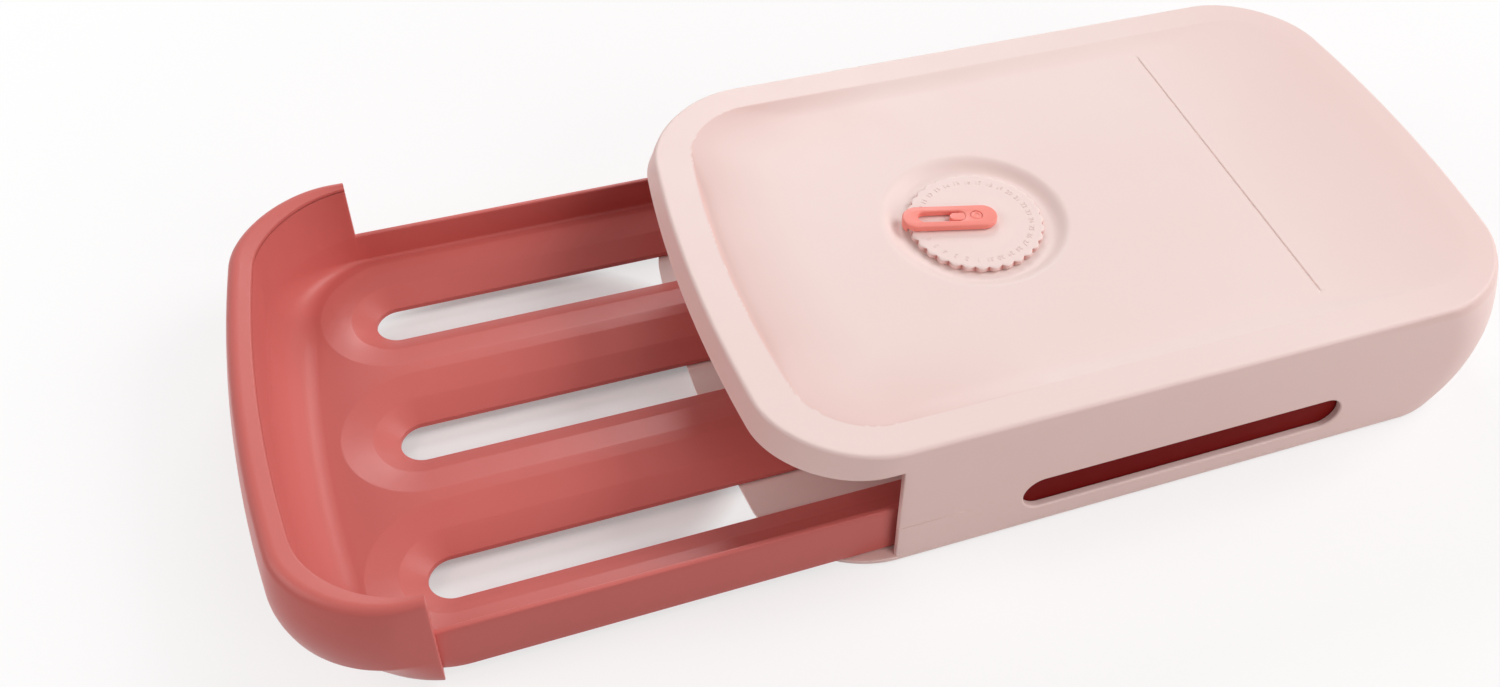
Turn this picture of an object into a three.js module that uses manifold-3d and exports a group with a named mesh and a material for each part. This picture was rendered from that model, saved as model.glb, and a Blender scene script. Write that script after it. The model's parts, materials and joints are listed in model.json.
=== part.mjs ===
import * as THREE from "three";
import { mergeVertices } from "three/addons/utils/BufferGeometryUtils.js";
import Module from "manifold-3d";

const wasm = await Module();
wasm.setup();

// Egg storage drawer, in millimetres. X is the width, the drawer opens towards -Y and Z is up.
// The origin is the middle of the underside of the case.

// Case: the plan is a rectangle with round corners, and its two ends bow outwards.
const caseWidth = 210;
const caseLength = 303;
const caseHeight = 63;
const endBow = 9.5;
const cornerRadius = 39;
const rearBelly = 4.4;
const rearUndercut = 4;
const frontBelly = 6.5;
const wall = 2.8;
const lidSkin = 2.2;
const lidEdgeRound = 1.4;
const plateThickness = 2.4;
const bandHeight = 11;
const sideFrontSetback = 38;

// Lid: a raised border, a sunk floor, and a long ramp from the floor up to the rear.
const borderWidth = 14;
const frontBorder = 18;
const rearBorder = 10;
const lidSink = 2.2;
const sideSlope = 8;
const frontSlope = 17;
const rampStart = 70.5;
const recessCorner = 25;
const floorCorner = 17;

// Long window in each side wall, closed from inside by the guide rail.
const windowLength = 139;
const windowHeight = 16;
const windowMiddleY = 6;
const windowMiddleZ = 17.5;

// Guide rails: an upright web behind the window and a lip over the edge of the tray.
const railWeb = 1.2;
const railLip = 1.6;
const railLipReach = 3.5;
const railFrontSetback = 5.5;
const railRearSetback = 4.5;

// Drawer tray: three long troughs side by side, each with an open slot along its floor.
const drawerPull = 162;
const drawerSpare = 12;
const trayWall = 2.2;
const traySkin = 2;
const trayWallTop = 26;
const deckHeight = 12;
const traySideClearance = 0.5;
const trayLift = 0.4;
const trayRearGap = 1.6;
const troughCount = 3;
const ridgeWidth = 5.5;
const sideDeck = 4;
const frontDeck = 10.5;
const rearDeck = 6;
const stepRadiusShare = 0.66;
const stepDropShare = 0.58;
const slotRadiusShare = 0.305;

// Drawer front: a bellied fascia whose rim folds over the front wall of the tray.
const frontTopGap = 0.8;
const fasciaSkin = 1.9;
const rimThickness = 2.3;
const rimWidth = 8;
const rimSideWidth = 4.2;
const frontUndercut = 8.5;
const creaseHeight = 18.5;
const innerDraft = 2;

// Stops: two lugs on the base plate catch the rear wall of the tray.
const stopWidth = 8;
const stopDepth = 6;
const stopHeadroom = 3;

// Date dial in a round well, with a turning disc and a pointer on one pivot pin.
const dialY = -43;
const wellSlope = 8.5;
const wellClearance = 2.4;
const wellDepth = 3.6;
const discRadius = 27.4;
const discThickness = 2.2;
const beadCount = 31;
const beadRise = 0.6;
const pinRadius = 1.9;
const pinHeadRadius = 3.2;
const pinHeadHeight = 1.1;
const pinFootRadius = 2.9;
const clipRadius = 5;
const clipThickness = 0.8;
const pointerTail = 8.5;
const pointerWidth = 12;
const pointerThickness = 2.6;
const pointerTurn = THREE.MathUtils.degToRad(-104);
const pointerLip = 1.5;
const pointerLipDrop = 1.8;
const pointerLipGap = 0.4;
const hubWall = 1;
const pointerEndWall = 6.3;
const pointerWindow = 5.6;
const tongueRadius = 2.2;
const tongueMiddle = 8.6;
const tongueNeck = 2;

// Feet: round pads, part sunk into the base plate.
const footRadius = 7;
const footRise = 0.8;
const footSunk = 0.9;
const footSideInset = 27;
const footEndInset = 39.5;

// Clearances shared by pieces that seat on or in each other.
const seatGap = 0.3;
const frontEndGap = 0.6;
const stopGap = 0.6;
const overrun = 5;

// Fineness of round stretches, and the distance within which corners are one.
const cornerSteps = 9;
const edgeSteps = 10;
const roundSteps = 40;
const troughSteps = 16;
const stepsPerBead = 4;
const sameCorner = 1e-4;

// Sizes that follow from the ones above.
const halfWidth = caseWidth / 2;
const halfLength = caseLength / 2;
const floorHeight = caseHeight - lidSink;
const bandBottom = caseHeight - bandHeight;
const frontTop = bandBottom - frontTopGap;
const sideFrontY = sideFrontSetback - halfLength;
const frontEndY = sideFrontY - frontEndGap;
const insideHalfWidth = halfWidth - wall;
const railOuter = insideHalfWidth - seatGap;
const railInner = railOuter - railWeb;
const railFront = sideFrontY + railFrontSetback;
const railRear = halfLength - cornerRadius - railRearSetback;
const trayHalfWidth = railInner - traySideClearance;
const trayBottom = plateThickness + trayLift;
const trayRearRadius = cornerRadius - wall - trayRearGap;
const rimHalfWidth = halfWidth - rimSideWidth;
const frontWallRadius = cornerRadius - fasciaSkin - seatGap;
const frontWallHalfWidth = halfWidth - fasciaSkin - seatGap;
const frontWallTop = frontTop - rimThickness - seatGap;
const troughSpan = 2 * (trayHalfWidth - trayWall - sideDeck);
const troughPitch = (troughSpan + ridgeWidth) / troughCount;
const troughRadius = (troughPitch - ridgeWidth) / 2;
const troughFloorDrop = deckHeight - trayBottom - traySkin;
const slotRadius = slotRadiusShare * troughRadius;
const stopTop = deckHeight - traySkin - stopHeadroom;
const discRim = discRadius + beadRise;
const wellFloorRadius = discRim + wellClearance;
const wellRadius = wellFloorRadius + wellSlope;
const wellFloor = floorHeight - wellDepth;
const discBottom = wellFloor + seatGap;
const discTop = discBottom + discThickness;
const pointerBottom = discTop + seatGap;
const pointerTop = pointerBottom + pointerThickness;
const pointerReach = discRim + pointerLipGap + pointerLip;
const windowNear = pinHeadRadius + seatGap + hubWall;
const windowFar = pointerReach - pointerEndWall;
const footX = halfWidth - footSideInset;
const footY = halfLength - footEndInset;
const pinHoleRadius = pinRadius + seatGap;

// Wraps a closed three.js geometry as a solid that can be joined and cut.
function toSolid(geometry) {
  const bare = new THREE.BufferGeometry();
  bare.setAttribute("position", geometry.getAttribute("position").clone());
  bare.setIndex(geometry.index);
  const merged = mergeVertices(bare, sameCorner);
  const mesh = new wasm.Mesh({
    numProp: 3,
    vertProperties: merged.getAttribute("position").array,
    triVerts: new Uint32Array(merged.index.array),
  });
  return new wasm.Manifold(mesh);
}

function toGeometry(solid) {
  const mesh = solid.getMesh();
  const geometry = new THREE.BufferGeometry();
  geometry.setAttribute("position", new THREE.BufferAttribute(mesh.vertProperties, 3));
  geometry.setIndex(new THREE.BufferAttribute(mesh.triVerts, 1));
  geometry.computeVertexNormals();
  return geometry;
}

// One end of a plan outline, from the -X side to the +X side, with y counted outwards.
function endOutline(half, reach, radius, bow) {
  const lift = (x) => bow * (1 - (x / half) ** 2);
  const points = [];
  for (let k = 0; k <= cornerSteps; k += 1) {
    const angle = (k / cornerSteps) * (Math.PI / 2);
    const x = half - radius + radius * Math.cos(angle);
    const y = reach - radius + (radius + lift(x)) * Math.sin(angle);
    points.push([x, y]);
  }
  const left = points.map(([x, y]) => [-x, y]);
  const middle = [];
  for (let k = 1; k < edgeSteps; k += 1) {
    const x = (half - radius) * ((2 * k) / edgeSteps - 1);
    middle.push([x, reach + lift(x)]);
  }
  return [...left, ...middle, ...points.reverse()];
}

// A counter-clockwise plan outline with a front reach and a rear reach from the origin.
function plan({ half, front, rear, frontRadius, rearRadius, bow = endBow }) {
  const ahead = endOutline(half, front, frontRadius, bow);
  const behind = endOutline(half, rear, rearRadius, bow);
  return [
    ...ahead.map(([x, y]) => new THREE.Vector2(x, -y)),
    ...behind.map(([x, y]) => new THREE.Vector2(-x, y)),
  ];
}

// A slot-shaped outline that runs along Y between two round ends.
function slotOutline(x, radius, front, rear) {
  const points = [];
  for (let k = 0; k <= troughSteps; k += 1) {
    const angle = Math.PI * (1 + k / troughSteps);
    points.push(new THREE.Vector2(x + radius * Math.cos(angle), front + radius * Math.sin(angle)));
  }
  for (let k = 0; k <= troughSteps; k += 1) {
    const angle = (Math.PI * k) / troughSteps;
    points.push(new THREE.Vector2(x + radius * Math.cos(angle), rear + radius * Math.sin(angle)));
  }
  return points;
}

// A closed body through outlines of equal point count, from the lowest level up.
function loft(levels) {
  const count = levels[0].points.length;
  const positions = levels.flatMap(({ z, points }) => points.flatMap((p) => [p.x, p.y, z]));
  const index = [];
  for (let k = 0; k + 1 < levels.length; k += 1) {
    for (let i = 0; i < count; i += 1) {
      const a = k * count + i;
      const b = k * count + ((i + 1) % count);
      index.push(a, b, b + count, a, b + count, a + count);
    }
  }
  const last = (levels.length - 1) * count;
  for (const [a, b, c] of THREE.ShapeUtils.triangulateShape(levels[0].points, [])) index.push(c, b, a);
  for (const [a, b, c] of THREE.ShapeUtils.triangulateShape(levels.at(-1).points, [])) {
    index.push(last + a, last + b, last + c);
  }
  const geometry = new THREE.BufferGeometry();
  geometry.setAttribute("position", new THREE.Float32BufferAttribute(positions, 3));
  geometry.setIndex(index);
  return toSolid(geometry);
}

function box(x0, x1, y0, y1, z0, z1) {
  const geometry = new THREE.BoxGeometry(x1 - x0, y1 - y0, z1 - z0);
  geometry.translate((x0 + x1) / 2, (y0 + y1) / 2, (z0 + z1) / 2);
  return toSolid(geometry);
}

// A body turned about the vertical line at x, y from [radius, z] points, anticlockwise.
function turned(profile, x, y) {
  const closed = [...profile, profile[0]].map(([r, z]) => new THREE.Vector2(r, z));
  const geometry = new THREE.LatheGeometry(closed, roundSteps);
  geometry.rotateX(Math.PI / 2);
  geometry.translate(x, y, 0);
  return toSolid(geometry);
}

function disc(radius, z0, z1, x, y) {
  return turned([[0, z0], [radius, z0], [radius, z1], [0, z1]], x, y);
}

// The two ends of the case are bellied: how far each stands out beyond the lid, at a height.
const waveAt = (z) => Math.max(0, Math.sin((Math.PI * z) / caseHeight));
const undercutHeightShare = 0.25;
const cornerTightenShare = 0.17;
const bellyPower = 1.3;

function bellyAt(z) {
  return frontBelly * waveAt(z) ** bellyPower;
}

function rearBulge(z) {
  const under = Math.max(0, 1 - z / caseHeight / undercutHeightShare);
  return rearBelly * waveAt(z) - rearUndercut * under ** 2;
}

// The corner in front is the tighter the more the belly stands out there.
function frontCornerAt(bulge) {
  return cornerRadius * (1 - cornerTightenShare * Math.max(0, bulge / frontBelly));
}

// The outline of the case at a height, drawn in by an inset.
function caseOutline(z, inset) {
  const tight = cornerRadius * (1 - cornerTightenShare * waveAt(z));
  return plan({
    half: halfWidth - inset,
    front: halfLength + bellyAt(z) - inset,
    rear: halfLength + rearBulge(z) - inset,
    frontRadius: frontCornerAt(bellyAt(z)) - inset,
    rearRadius: tight - inset,
  });
}

const trayRear = halfLength + rearBulge(trayBottom) - wall - trayRearGap;
const troughRear = trayRear - rearDeck;
const rimFront = halfLength + bellyAt(frontTop) - rimWidth;
const frontWallFront = rimFront + trayWall;
const troughFront = frontDeck + innerDraft - rimFront;

const bodyLevelShares = [0.05, 0.11, 0.18, 0.27, 0.4, 0.55, 0.7, 0.85];
const edgeRoundShares = [0.7, 1];

function caseBody(inset, bottom, top) {
  const middle = bodyLevelShares.map((share) => share * caseHeight).filter((z) => z > bottom && z < top);
  return [bottom, ...middle, top].map((z) => ({ z, points: caseOutline(z, inset) }));
}

// The sunk floor of the lid as a cutting body, dropped and widened by a skin.
function lidRecess(spread, drop) {
  const rim = plan({
    half: halfWidth - borderWidth + spread,
    front: halfLength - frontBorder + spread,
    rear: halfLength - rearBorder + spread,
    frontRadius: recessCorner + spread,
    rearRadius: recessCorner + spread,
  });
  const floor = plan({
    half: halfWidth - borderWidth - sideSlope + spread,
    front: halfLength - frontBorder - frontSlope + spread,
    rear: rampStart + spread,
    frontRadius: floorCorner + spread,
    rearRadius: floorCorner + spread,
  });
  const straightRear = floor.map((p) => new THREE.Vector2(p.x, Math.min(p.y, rampStart + spread)));
  return loft([
    { z: floorHeight - drop, points: straightRear },
    { z: caseHeight - drop, points: rim },
    { z: caseHeight + overrun, points: rim },
  ]);
}

function dialWell(spread, drop) {
  const floor = wellFloor - drop;
  const mouth = floorHeight - drop;
  const top = caseHeight + overrun;
  const outer = wellRadius + spread;
  return turned([[0, floor], [wellFloorRadius + spread, floor], [outer, mouth], [outer, top], [0, top]], 0, dialY);
}

// A body cut by a slot outline drawn in Y and Z and run through along X.
function sideWindow(x0, x1) {
  const end = windowHeight / 2;
  const run = windowLength / 2 - end;
  const shape = new THREE.Shape();
  shape.absarc(windowMiddleY + run, windowMiddleZ, end, -Math.PI / 2, Math.PI / 2, false);
  shape.absarc(windowMiddleY - run, windowMiddleZ, end, Math.PI / 2, 1.5 * Math.PI, false);
  const geometry = new THREE.ExtrudeGeometry(shape, {
    depth: x1 - x0,
    bevelEnabled: false,
    curveSegments: troughSteps,
  });
  const along = new THREE.Matrix4().makeBasis(
    new THREE.Vector3(0, 1, 0),
    new THREE.Vector3(0, 0, 1),
    new THREE.Vector3(1, 0, 0),
  );
  geometry.applyMatrix4(along);
  geometry.translate(x0, 0, 0);
  return toSolid(geometry);
}

function outerShell() {
  const shellTop = caseBody(0, plateThickness, caseHeight - lidEdgeRound);
  const rounded = edgeRoundShares.map((share) => ({
    z: caseHeight - lidEdgeRound * (1 - share),
    points: caseOutline(caseHeight, lidEdgeRound * (1 - Math.sqrt(1 - share ** 2))),
  }));
  const hollow = caseBody(wall, -overrun, caseHeight - lidSkin);
  const cavity = loft(hollow)
    .subtract(lidRecess(lidSkin, lidSkin))
    .subtract(dialWell(lidSkin, lidSkin));
  const opening = box(-caseWidth, caseWidth, -caseLength, sideFrontY, -overrun, bandBottom);
  return loft([...shellTop, ...rounded])
    .subtract(cavity)
    .subtract(lidRecess(0, 0))
    .subtract(dialWell(0, 0))
    .subtract(opening)
    .subtract(sideWindow(-caseWidth, caseWidth))
    .subtract(disc(pinHoleRadius, 0, caseHeight, 0, dialY));
}

const footPlaces = [
  [-footX, -footY],
  [footX, -footY],
  [-footX, footY],
  [footX, footY],
];

// Where the rear wall of the tray comes to rest against the stops.
function stopRearY() {
  const across = troughPitch / 2;
  const bowed = endBow * (1 - (across / trayHalfWidth) ** 2);
  return trayRear + bowed - trayWall - drawerPull - drawerSpare - stopGap;
}

function basePlate() {
  let plate = loft([
    { z: 0, points: caseOutline(0, 0) },
    { z: plateThickness, points: caseOutline(plateThickness, 0) },
  ]);
  for (const [x, y] of footPlaces) {
    plate = plate.subtract(disc(footRadius + seatGap, -overrun, footSunk + seatGap, x, y));
  }
  for (const side of [-1, 1]) {
    const x = (side * troughPitch) / 2;
    const rear = stopRearY();
    const half = stopWidth / 2;
    plate = plate.add(box(x - half, x + half, rear - stopDepth, rear, plateThickness / 2, stopTop));
  }
  return plate;
}

function foot([x, y]) {
  return disc(footRadius, -footRise, footSunk, x, y);
}

function guideRail(side) {
  const bottom = plateThickness + seatGap;
  const lipBottom = trayWallTop + traySideClearance;
  const lipTop = lipBottom + railLip;
  const between = (near, far, z0, z1) =>
    box(Math.min(side * near, side * far), Math.max(side * near, side * far), railFront, railRear, z0, z1);
  const web = between(railInner, railOuter, bottom, lipTop);
  return web.add(between(railOuter - railLipReach, railOuter, lipBottom, lipTop));
}

const troughProfile = [
  [slotRadius, deckHeight - troughFloorDrop],
  [stepRadiusShare * troughRadius, deckHeight - stepDropShare * troughFloorDrop],
  [troughRadius, deckHeight],
];

const troughPlaces = Array.from(
  { length: troughCount },
  (_, k) => (k - (troughCount - 1) / 2) * troughPitch,
);

// One trough as a body; drop lowers it by the skin to give the underside.
function trough(x, drop) {
  const front = troughFront + troughRadius;
  const rear = troughRear - troughRadius;
  const sunk = troughProfile.map(([r, z]) => ({ z: z - drop, points: slotOutline(x, r, front, rear) }));
  const above = { z: deckHeight + overrun, points: slotOutline(x, troughRadius, front, rear) };
  return loft([...sunk, above]);
}

function troughSlot(x) {
  const front = troughFront + troughRadius;
  const rear = troughRear - troughRadius;
  return loft([
    { z: -overrun, points: slotOutline(x, slotRadius, front, rear) },
    { z: deckHeight, points: slotOutline(x, slotRadius, front, rear) },
  ]);
}

// How far the drawer front stands out beyond the lid at a height: bellied as the case is,
// and below the crease it runs back in a straight undercut.
function frontBulge(z) {
  if (z >= creaseHeight) return bellyAt(z);
  const share = (z - trayBottom) / (creaseHeight - trayBottom);
  return THREE.MathUtils.lerp(-frontUndercut, bellyAt(creaseHeight), share);
}

// Plan of the space inside the drawer at a height above the deck.
function trayInside(z) {
  const rise = Math.max(0, (z - trayWallTop) / (frontTop - trayWallTop));
  const half = THREE.MathUtils.lerp(trayHalfWidth - trayWall, rimHalfWidth, rise);
  const draft = innerDraft * ((frontTop - z) / (frontTop - deckHeight));
  return plan({
    half,
    front: rimFront - draft,
    rear: trayRear - trayWall,
    frontRadius: frontWallRadius - trayWall,
    rearRadius: trayRearRadius - trayWall,
  });
}

// How far forward the tray reaches at a height: it stays behind the undercut of the fascia.
function trayReach(z) {
  return Math.min(frontWallFront, halfLength + frontBulge(z) - fasciaSkin - seatGap);
}

function trayOutline(half, z) {
  return plan({
    half,
    front: trayReach(z),
    rear: trayRear,
    frontRadius: frontWallRadius,
    rearRadius: trayRearRadius,
  });
}

// Plan of the hollow under the deck at a height.
function trayUnder(z) {
  return plan({
    half: trayHalfWidth - trayWall,
    front: Math.min(rimFront - innerDraft, trayReach(z) - trayWall),
    rear: trayRear - trayWall,
    frontRadius: frontWallRadius - trayWall,
    rearRadius: trayRearRadius - trayWall,
  });
}

const undercutShares = [0, 0.3, 0.6, 1];

function drawerTray() {
  const lowHeights = undercutShares.map((share) => THREE.MathUtils.lerp(trayBottom, creaseHeight, share));
  const outside = (half, top) => loft([...lowHeights, top].map((z) => ({ z, points: trayOutline(half, z) })));
  const low = outside(trayHalfWidth, trayWallTop);
  const tall = outside(frontWallHalfWidth, frontWallTop).subtract(
    box(-caseWidth, caseWidth, frontEndY, caseLength, -overrun, caseHeight),
  );
  const insideLevels = [deckHeight, trayWallTop, frontTop].map((z) => ({ z, points: trayInside(z) }));
  let under = loft([
    { z: -overrun, points: trayUnder(trayBottom) },
    { z: trayBottom, points: trayUnder(trayBottom) },
    { z: deckHeight - traySkin, points: trayUnder(deckHeight - traySkin) },
  ]);
  for (const x of troughPlaces) under = under.subtract(trough(x, traySkin));
  let tray = low.add(tall).subtract(loft(insideLevels)).subtract(under);
  for (const x of troughPlaces) tray = tray.subtract(trough(x, 0)).subtract(troughSlot(x));
  return tray;
}

function frontOutline(z, inset) {
  return plan({
    half: halfWidth - inset,
    front: halfLength + frontBulge(z) - inset,
    rear: halfLength,
    frontRadius: frontCornerAt(frontBulge(z)) - inset,
    rearRadius: cornerRadius,
  });
}

const frontLevelShares = [0, 0.3, 0.5, 0.7, 0.86, 1];

function drawerFront() {
  const heights = [trayBottom, ...frontLevelShares.map((s) => THREE.MathUtils.lerp(creaseHeight, frontTop, s))];
  const skin = loft(heights.map((z) => ({ z, points: frontOutline(z, 0) })));
  const inner = heights.slice(0, -1).map((z) => ({ z, points: frontOutline(z, fasciaSkin) }));
  const innerTop = frontTop - rimThickness;
  const hollow = loft([
    { z: -overrun, points: frontOutline(trayBottom, fasciaSkin) },
    ...inner.filter(({ z }) => z < innerTop),
    { z: innerTop, points: frontOutline(innerTop, fasciaSkin) },
  ]);
  const mouth = loft([
    { z: 0, points: trayInside(frontTop) },
    { z: frontTop + overrun, points: trayInside(frontTop) },
  ]);
  const behind = box(-caseWidth, caseWidth, frontEndY, caseLength, -overrun, caseHeight);
  return skin.subtract(hollow).subtract(mouth).subtract(behind);
}

function dialDisc() {
  const shape = new THREE.Shape();
  const total = beadCount * stepsPerBead;
  const points = Array.from({ length: total }, (_, k) => {
    const angle = (2 * Math.PI * k) / total;
    const radius = discRadius + beadRise * Math.abs(Math.sin((beadCount * angle) / 2));
    return new THREE.Vector2(radius * Math.cos(angle), radius * Math.sin(angle));
  });
  shape.setFromPoints(points);
  const hole = new THREE.Path();
  hole.absarc(0, 0, pinHoleRadius, 0, 2 * Math.PI, true);
  shape.holes.push(hole);
  const geometry = new THREE.ExtrudeGeometry(shape, { depth: discThickness, bevelEnabled: false });
  geometry.translate(0, dialY, discBottom);
  return toSolid(geometry);
}

// Pointer, drawn along +X from its pivot and then turned to its place on the dial.
function datePointer() {
  const round = pointerWidth / 2;
  const flat = { depth: pointerThickness, bevelEnabled: false, curveSegments: troughSteps };
  const shape = new THREE.Shape();
  shape.absarc(pointerReach - round, 0, round, -Math.PI / 2, Math.PI / 2, false);
  shape.absarc(round - pointerTail, 0, round, Math.PI / 2, 1.5 * Math.PI, false);
  const opening = new THREE.Path();
  const half = pointerWindow / 2;
  opening.absarc(windowFar - half, 0, half, Math.PI / 2, -Math.PI / 2, true);
  opening.absarc(windowNear + half, 0, half, -Math.PI / 2, -1.5 * Math.PI, true);
  shape.holes.push(opening);
  const plate = toSolid(new THREE.ExtrudeGeometry(shape, flat));
  const neck = box(windowNear - tongueNeck, tongueMiddle, -tongueNeck / 2, tongueNeck / 2, 0, pointerThickness);
  const tip = disc(tongueRadius, 0, pointerThickness, tongueMiddle, 0);
  const lip = toSolid(new THREE.ExtrudeGeometry(shape, { ...flat, depth: pointerLipDrop + pointerThickness / 2 }))
    .translate([0, 0, -pointerLipDrop])
    .subtract(disc(pointerReach - pointerLip, -overrun, overrun, 0, 0));
  const pointer = plate
    .add(neck)
    .add(tip)
    .add(lip)
    .subtract(disc(pinHoleRadius, -overrun, overrun, 0, 0))
    .subtract(disc(pinHeadRadius + seatGap, pointerThickness - pinHeadHeight - seatGap, overrun, 0, 0));
  const geometry = toGeometry(pointer);
  geometry.rotateZ(pointerTurn);
  geometry.translate(0, dialY, pointerBottom);
  return toSolid(geometry);
}

const wellUnderside = wellFloor - lidSkin;
const clipTop = wellUnderside - seatGap;
const clipBottom = clipTop - clipThickness;

function pivotPin() {
  const footTop = clipBottom - seatGap;
  const headBottom = pointerTop - pinHeadHeight;
  return turned(
    [
      [0, footTop - clipThickness],
      [pinFootRadius, footTop - clipThickness],
      [pinFootRadius, footTop],
      [pinRadius, footTop],
      [pinRadius, headBottom],
      [pinHeadRadius, headBottom],
      [pinHeadRadius, pointerTop],
      [0, pointerTop],
    ],
    0,
    dialY,
  );
}

function pivotClip() {
  const ring = [
    [pinHoleRadius, clipBottom],
    [clipRadius, clipBottom],
    [clipRadius, clipTop],
    [pinHoleRadius, clipTop],
  ];
  return turned(ring, 0, dialY);
}

const palePink = { color: 0xf0d9d6, roughness: 0.55, metalness: 0 };
const coral = { color: 0xc95f5b, roughness: 0.5, metalness: 0 };
const salmon = { color: 0xf29186, roughness: 0.45, metalness: 0 };
const greySilicone = { color: 0xb9b2b1, roughness: 0.8, metalness: 0 };
const whitePlastic = { color: 0xe9e6e3, roughness: 0.5, metalness: 0 };

function piece(name, solid, look) {
  const mesh = new THREE.Mesh(toGeometry(solid), new THREE.MeshStandardMaterial(look));
  mesh.name = name;
  return mesh;
}

const product = new THREE.Group();
product.add(piece("outer_shell", outerShell(), palePink));
product.add(piece("base_plate", basePlate(), palePink));
product.add(piece("guide_rail_left", guideRail(-1), coral));
product.add(piece("guide_rail_right", guideRail(1), coral));
footPlaces.forEach((place, k) => product.add(piece(`foot_${k + 1}`, foot(place), greySilicone)));

const drawer = new THREE.Group();
drawer.position.y = -drawerPull;
drawer.add(piece("drawer_tray", drawerTray(), coral));
drawer.add(piece("drawer_front", drawerFront(), coral));
product.add(drawer);

product.add(piece("dial_disc", dialDisc(), palePink));
product.add(piece("date_pointer", datePointer(), salmon));
product.add(piece("pivot_pin", pivotPin(), salmon));
product.add(piece("pivot_clip", pivotClip(), whitePlastic));

export default product;
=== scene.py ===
import json
import math
from contextlib import contextmanager

import bmesh
import bpy
import numpy as np
from mathutils import Euler, Matrix, Vector
from mathutils.geometry import tessellate_polygon


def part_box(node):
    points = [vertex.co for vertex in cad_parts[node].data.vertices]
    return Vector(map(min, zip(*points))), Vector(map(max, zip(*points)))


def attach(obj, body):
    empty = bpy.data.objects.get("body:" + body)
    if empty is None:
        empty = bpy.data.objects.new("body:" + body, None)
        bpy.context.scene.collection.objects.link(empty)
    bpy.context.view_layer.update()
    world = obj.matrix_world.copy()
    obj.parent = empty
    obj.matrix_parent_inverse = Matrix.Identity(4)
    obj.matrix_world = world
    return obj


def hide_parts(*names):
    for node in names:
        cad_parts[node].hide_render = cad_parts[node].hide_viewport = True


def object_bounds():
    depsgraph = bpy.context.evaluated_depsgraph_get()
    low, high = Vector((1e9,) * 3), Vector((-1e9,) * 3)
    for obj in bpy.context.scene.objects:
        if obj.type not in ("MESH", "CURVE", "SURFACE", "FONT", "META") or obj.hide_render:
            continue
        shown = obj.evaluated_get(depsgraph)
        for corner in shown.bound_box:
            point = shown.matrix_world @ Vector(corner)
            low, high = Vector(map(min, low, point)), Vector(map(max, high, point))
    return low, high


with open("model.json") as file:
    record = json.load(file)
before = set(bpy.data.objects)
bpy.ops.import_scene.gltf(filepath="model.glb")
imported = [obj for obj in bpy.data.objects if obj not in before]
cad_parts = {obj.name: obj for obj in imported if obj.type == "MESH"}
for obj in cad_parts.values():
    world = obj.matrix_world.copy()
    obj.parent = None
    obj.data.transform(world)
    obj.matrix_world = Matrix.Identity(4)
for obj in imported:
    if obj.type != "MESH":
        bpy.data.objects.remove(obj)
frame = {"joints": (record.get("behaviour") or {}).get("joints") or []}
cad_low, cad_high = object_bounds()

# Egg storage drawer. Shapes are worked out in millimetres, X the width, the drawer opening
# towards -Y and Z up, and turned into metres where a mesh is made.
MM = 0.001

shell_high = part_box("outer_shell")[1] / MM
plate_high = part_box("base_plate")[1] / MM
slide = next(j for j in frame["joints"] if j["name"] == "drawer_slide")

# Case
HALF_WIDTH = shell_high.x
CASE_HEIGHT = shell_high.z
HALF_LENGTH = 151.5
END_BOW = 9.5
CORNER_RADIUS = 39
REAR_BELLY = 4.3
REAR_UNDERCUT = 4
FRONT_BELLY = 6.35
BELLY_POWER = 1.3
UNDERCUT_SHARE = 0.25
TIGHTEN_SHARE = 0.17
WALL = 2.8
LID_SKIN = 2.2
LID_EDGE = 1.7
PLATE = 2.4
PLATE_EDGE = 1
PLATE_TOP_EDGE = 0.2
PLATE_TOP_INSET = 0.25
STOP_HALF = 4
STOP_DEPTH = 6
STOP_ROUND = 0.8
STOP_GAP = 0.6
INNER_CHAMFER = 1
BAND_HEIGHT = 11
BAND_BOTTOM = CASE_HEIGHT - BAND_HEIGHT
SIDE_SETBACK = 38
CASE_CUT = SIDE_SETBACK - HALF_LENGTH
MOULD_EDGE = 0.5

# Lid
BORDER = 14
FRONT_BORDER = 14.5
REAR_BORDER = 10
LID_SINK = 2.2
SIDE_SLOPE = 11
FRONT_SLOPE = 32
RAMP_START = 70.5
RECESS_CORNER = 25
FLOOR_CORNER = 17
LINE_CORNER = 4
FLOOR_HEIGHT = CASE_HEIGHT - LID_SINK
SLOPE_EASE = 1.2
SLOPE_POWER = 2
FRONT_DIP = 1.3
STEP_END = 74
STEP_FADE = 36
LINE_DEPTH = 0.6
LINE_HALF = 0.45
LINE_FADE = 3

# Painted shade on the lid: a pinker, darker colour along its front, inside its border, and towards
# its rear
SHADE_NAME = "shade"
SHADE_START = -50
SHADE_BLEND = 60
SHADE_REACH = 40
SHADE_POWER = 1.4
REAR_SHADE = 0.45
REAR_SHADE_LENGTH = HALF_LENGTH - REAR_BORDER - RAMP_START

# Side windows and guide rails
WINDOW_LENGTH = 139
WINDOW_HEIGHT = 16
WINDOW_Y = 6
WINDOW_Z = 17.5
WINDOW_EDGE = 0.9
CREASE_Z = 19.5
CREASE_DEPTH = 0.9
CREASE_HALF = 0.35
CREASE_END = -83
CREASE_FADE_POWER = 0.5

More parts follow.
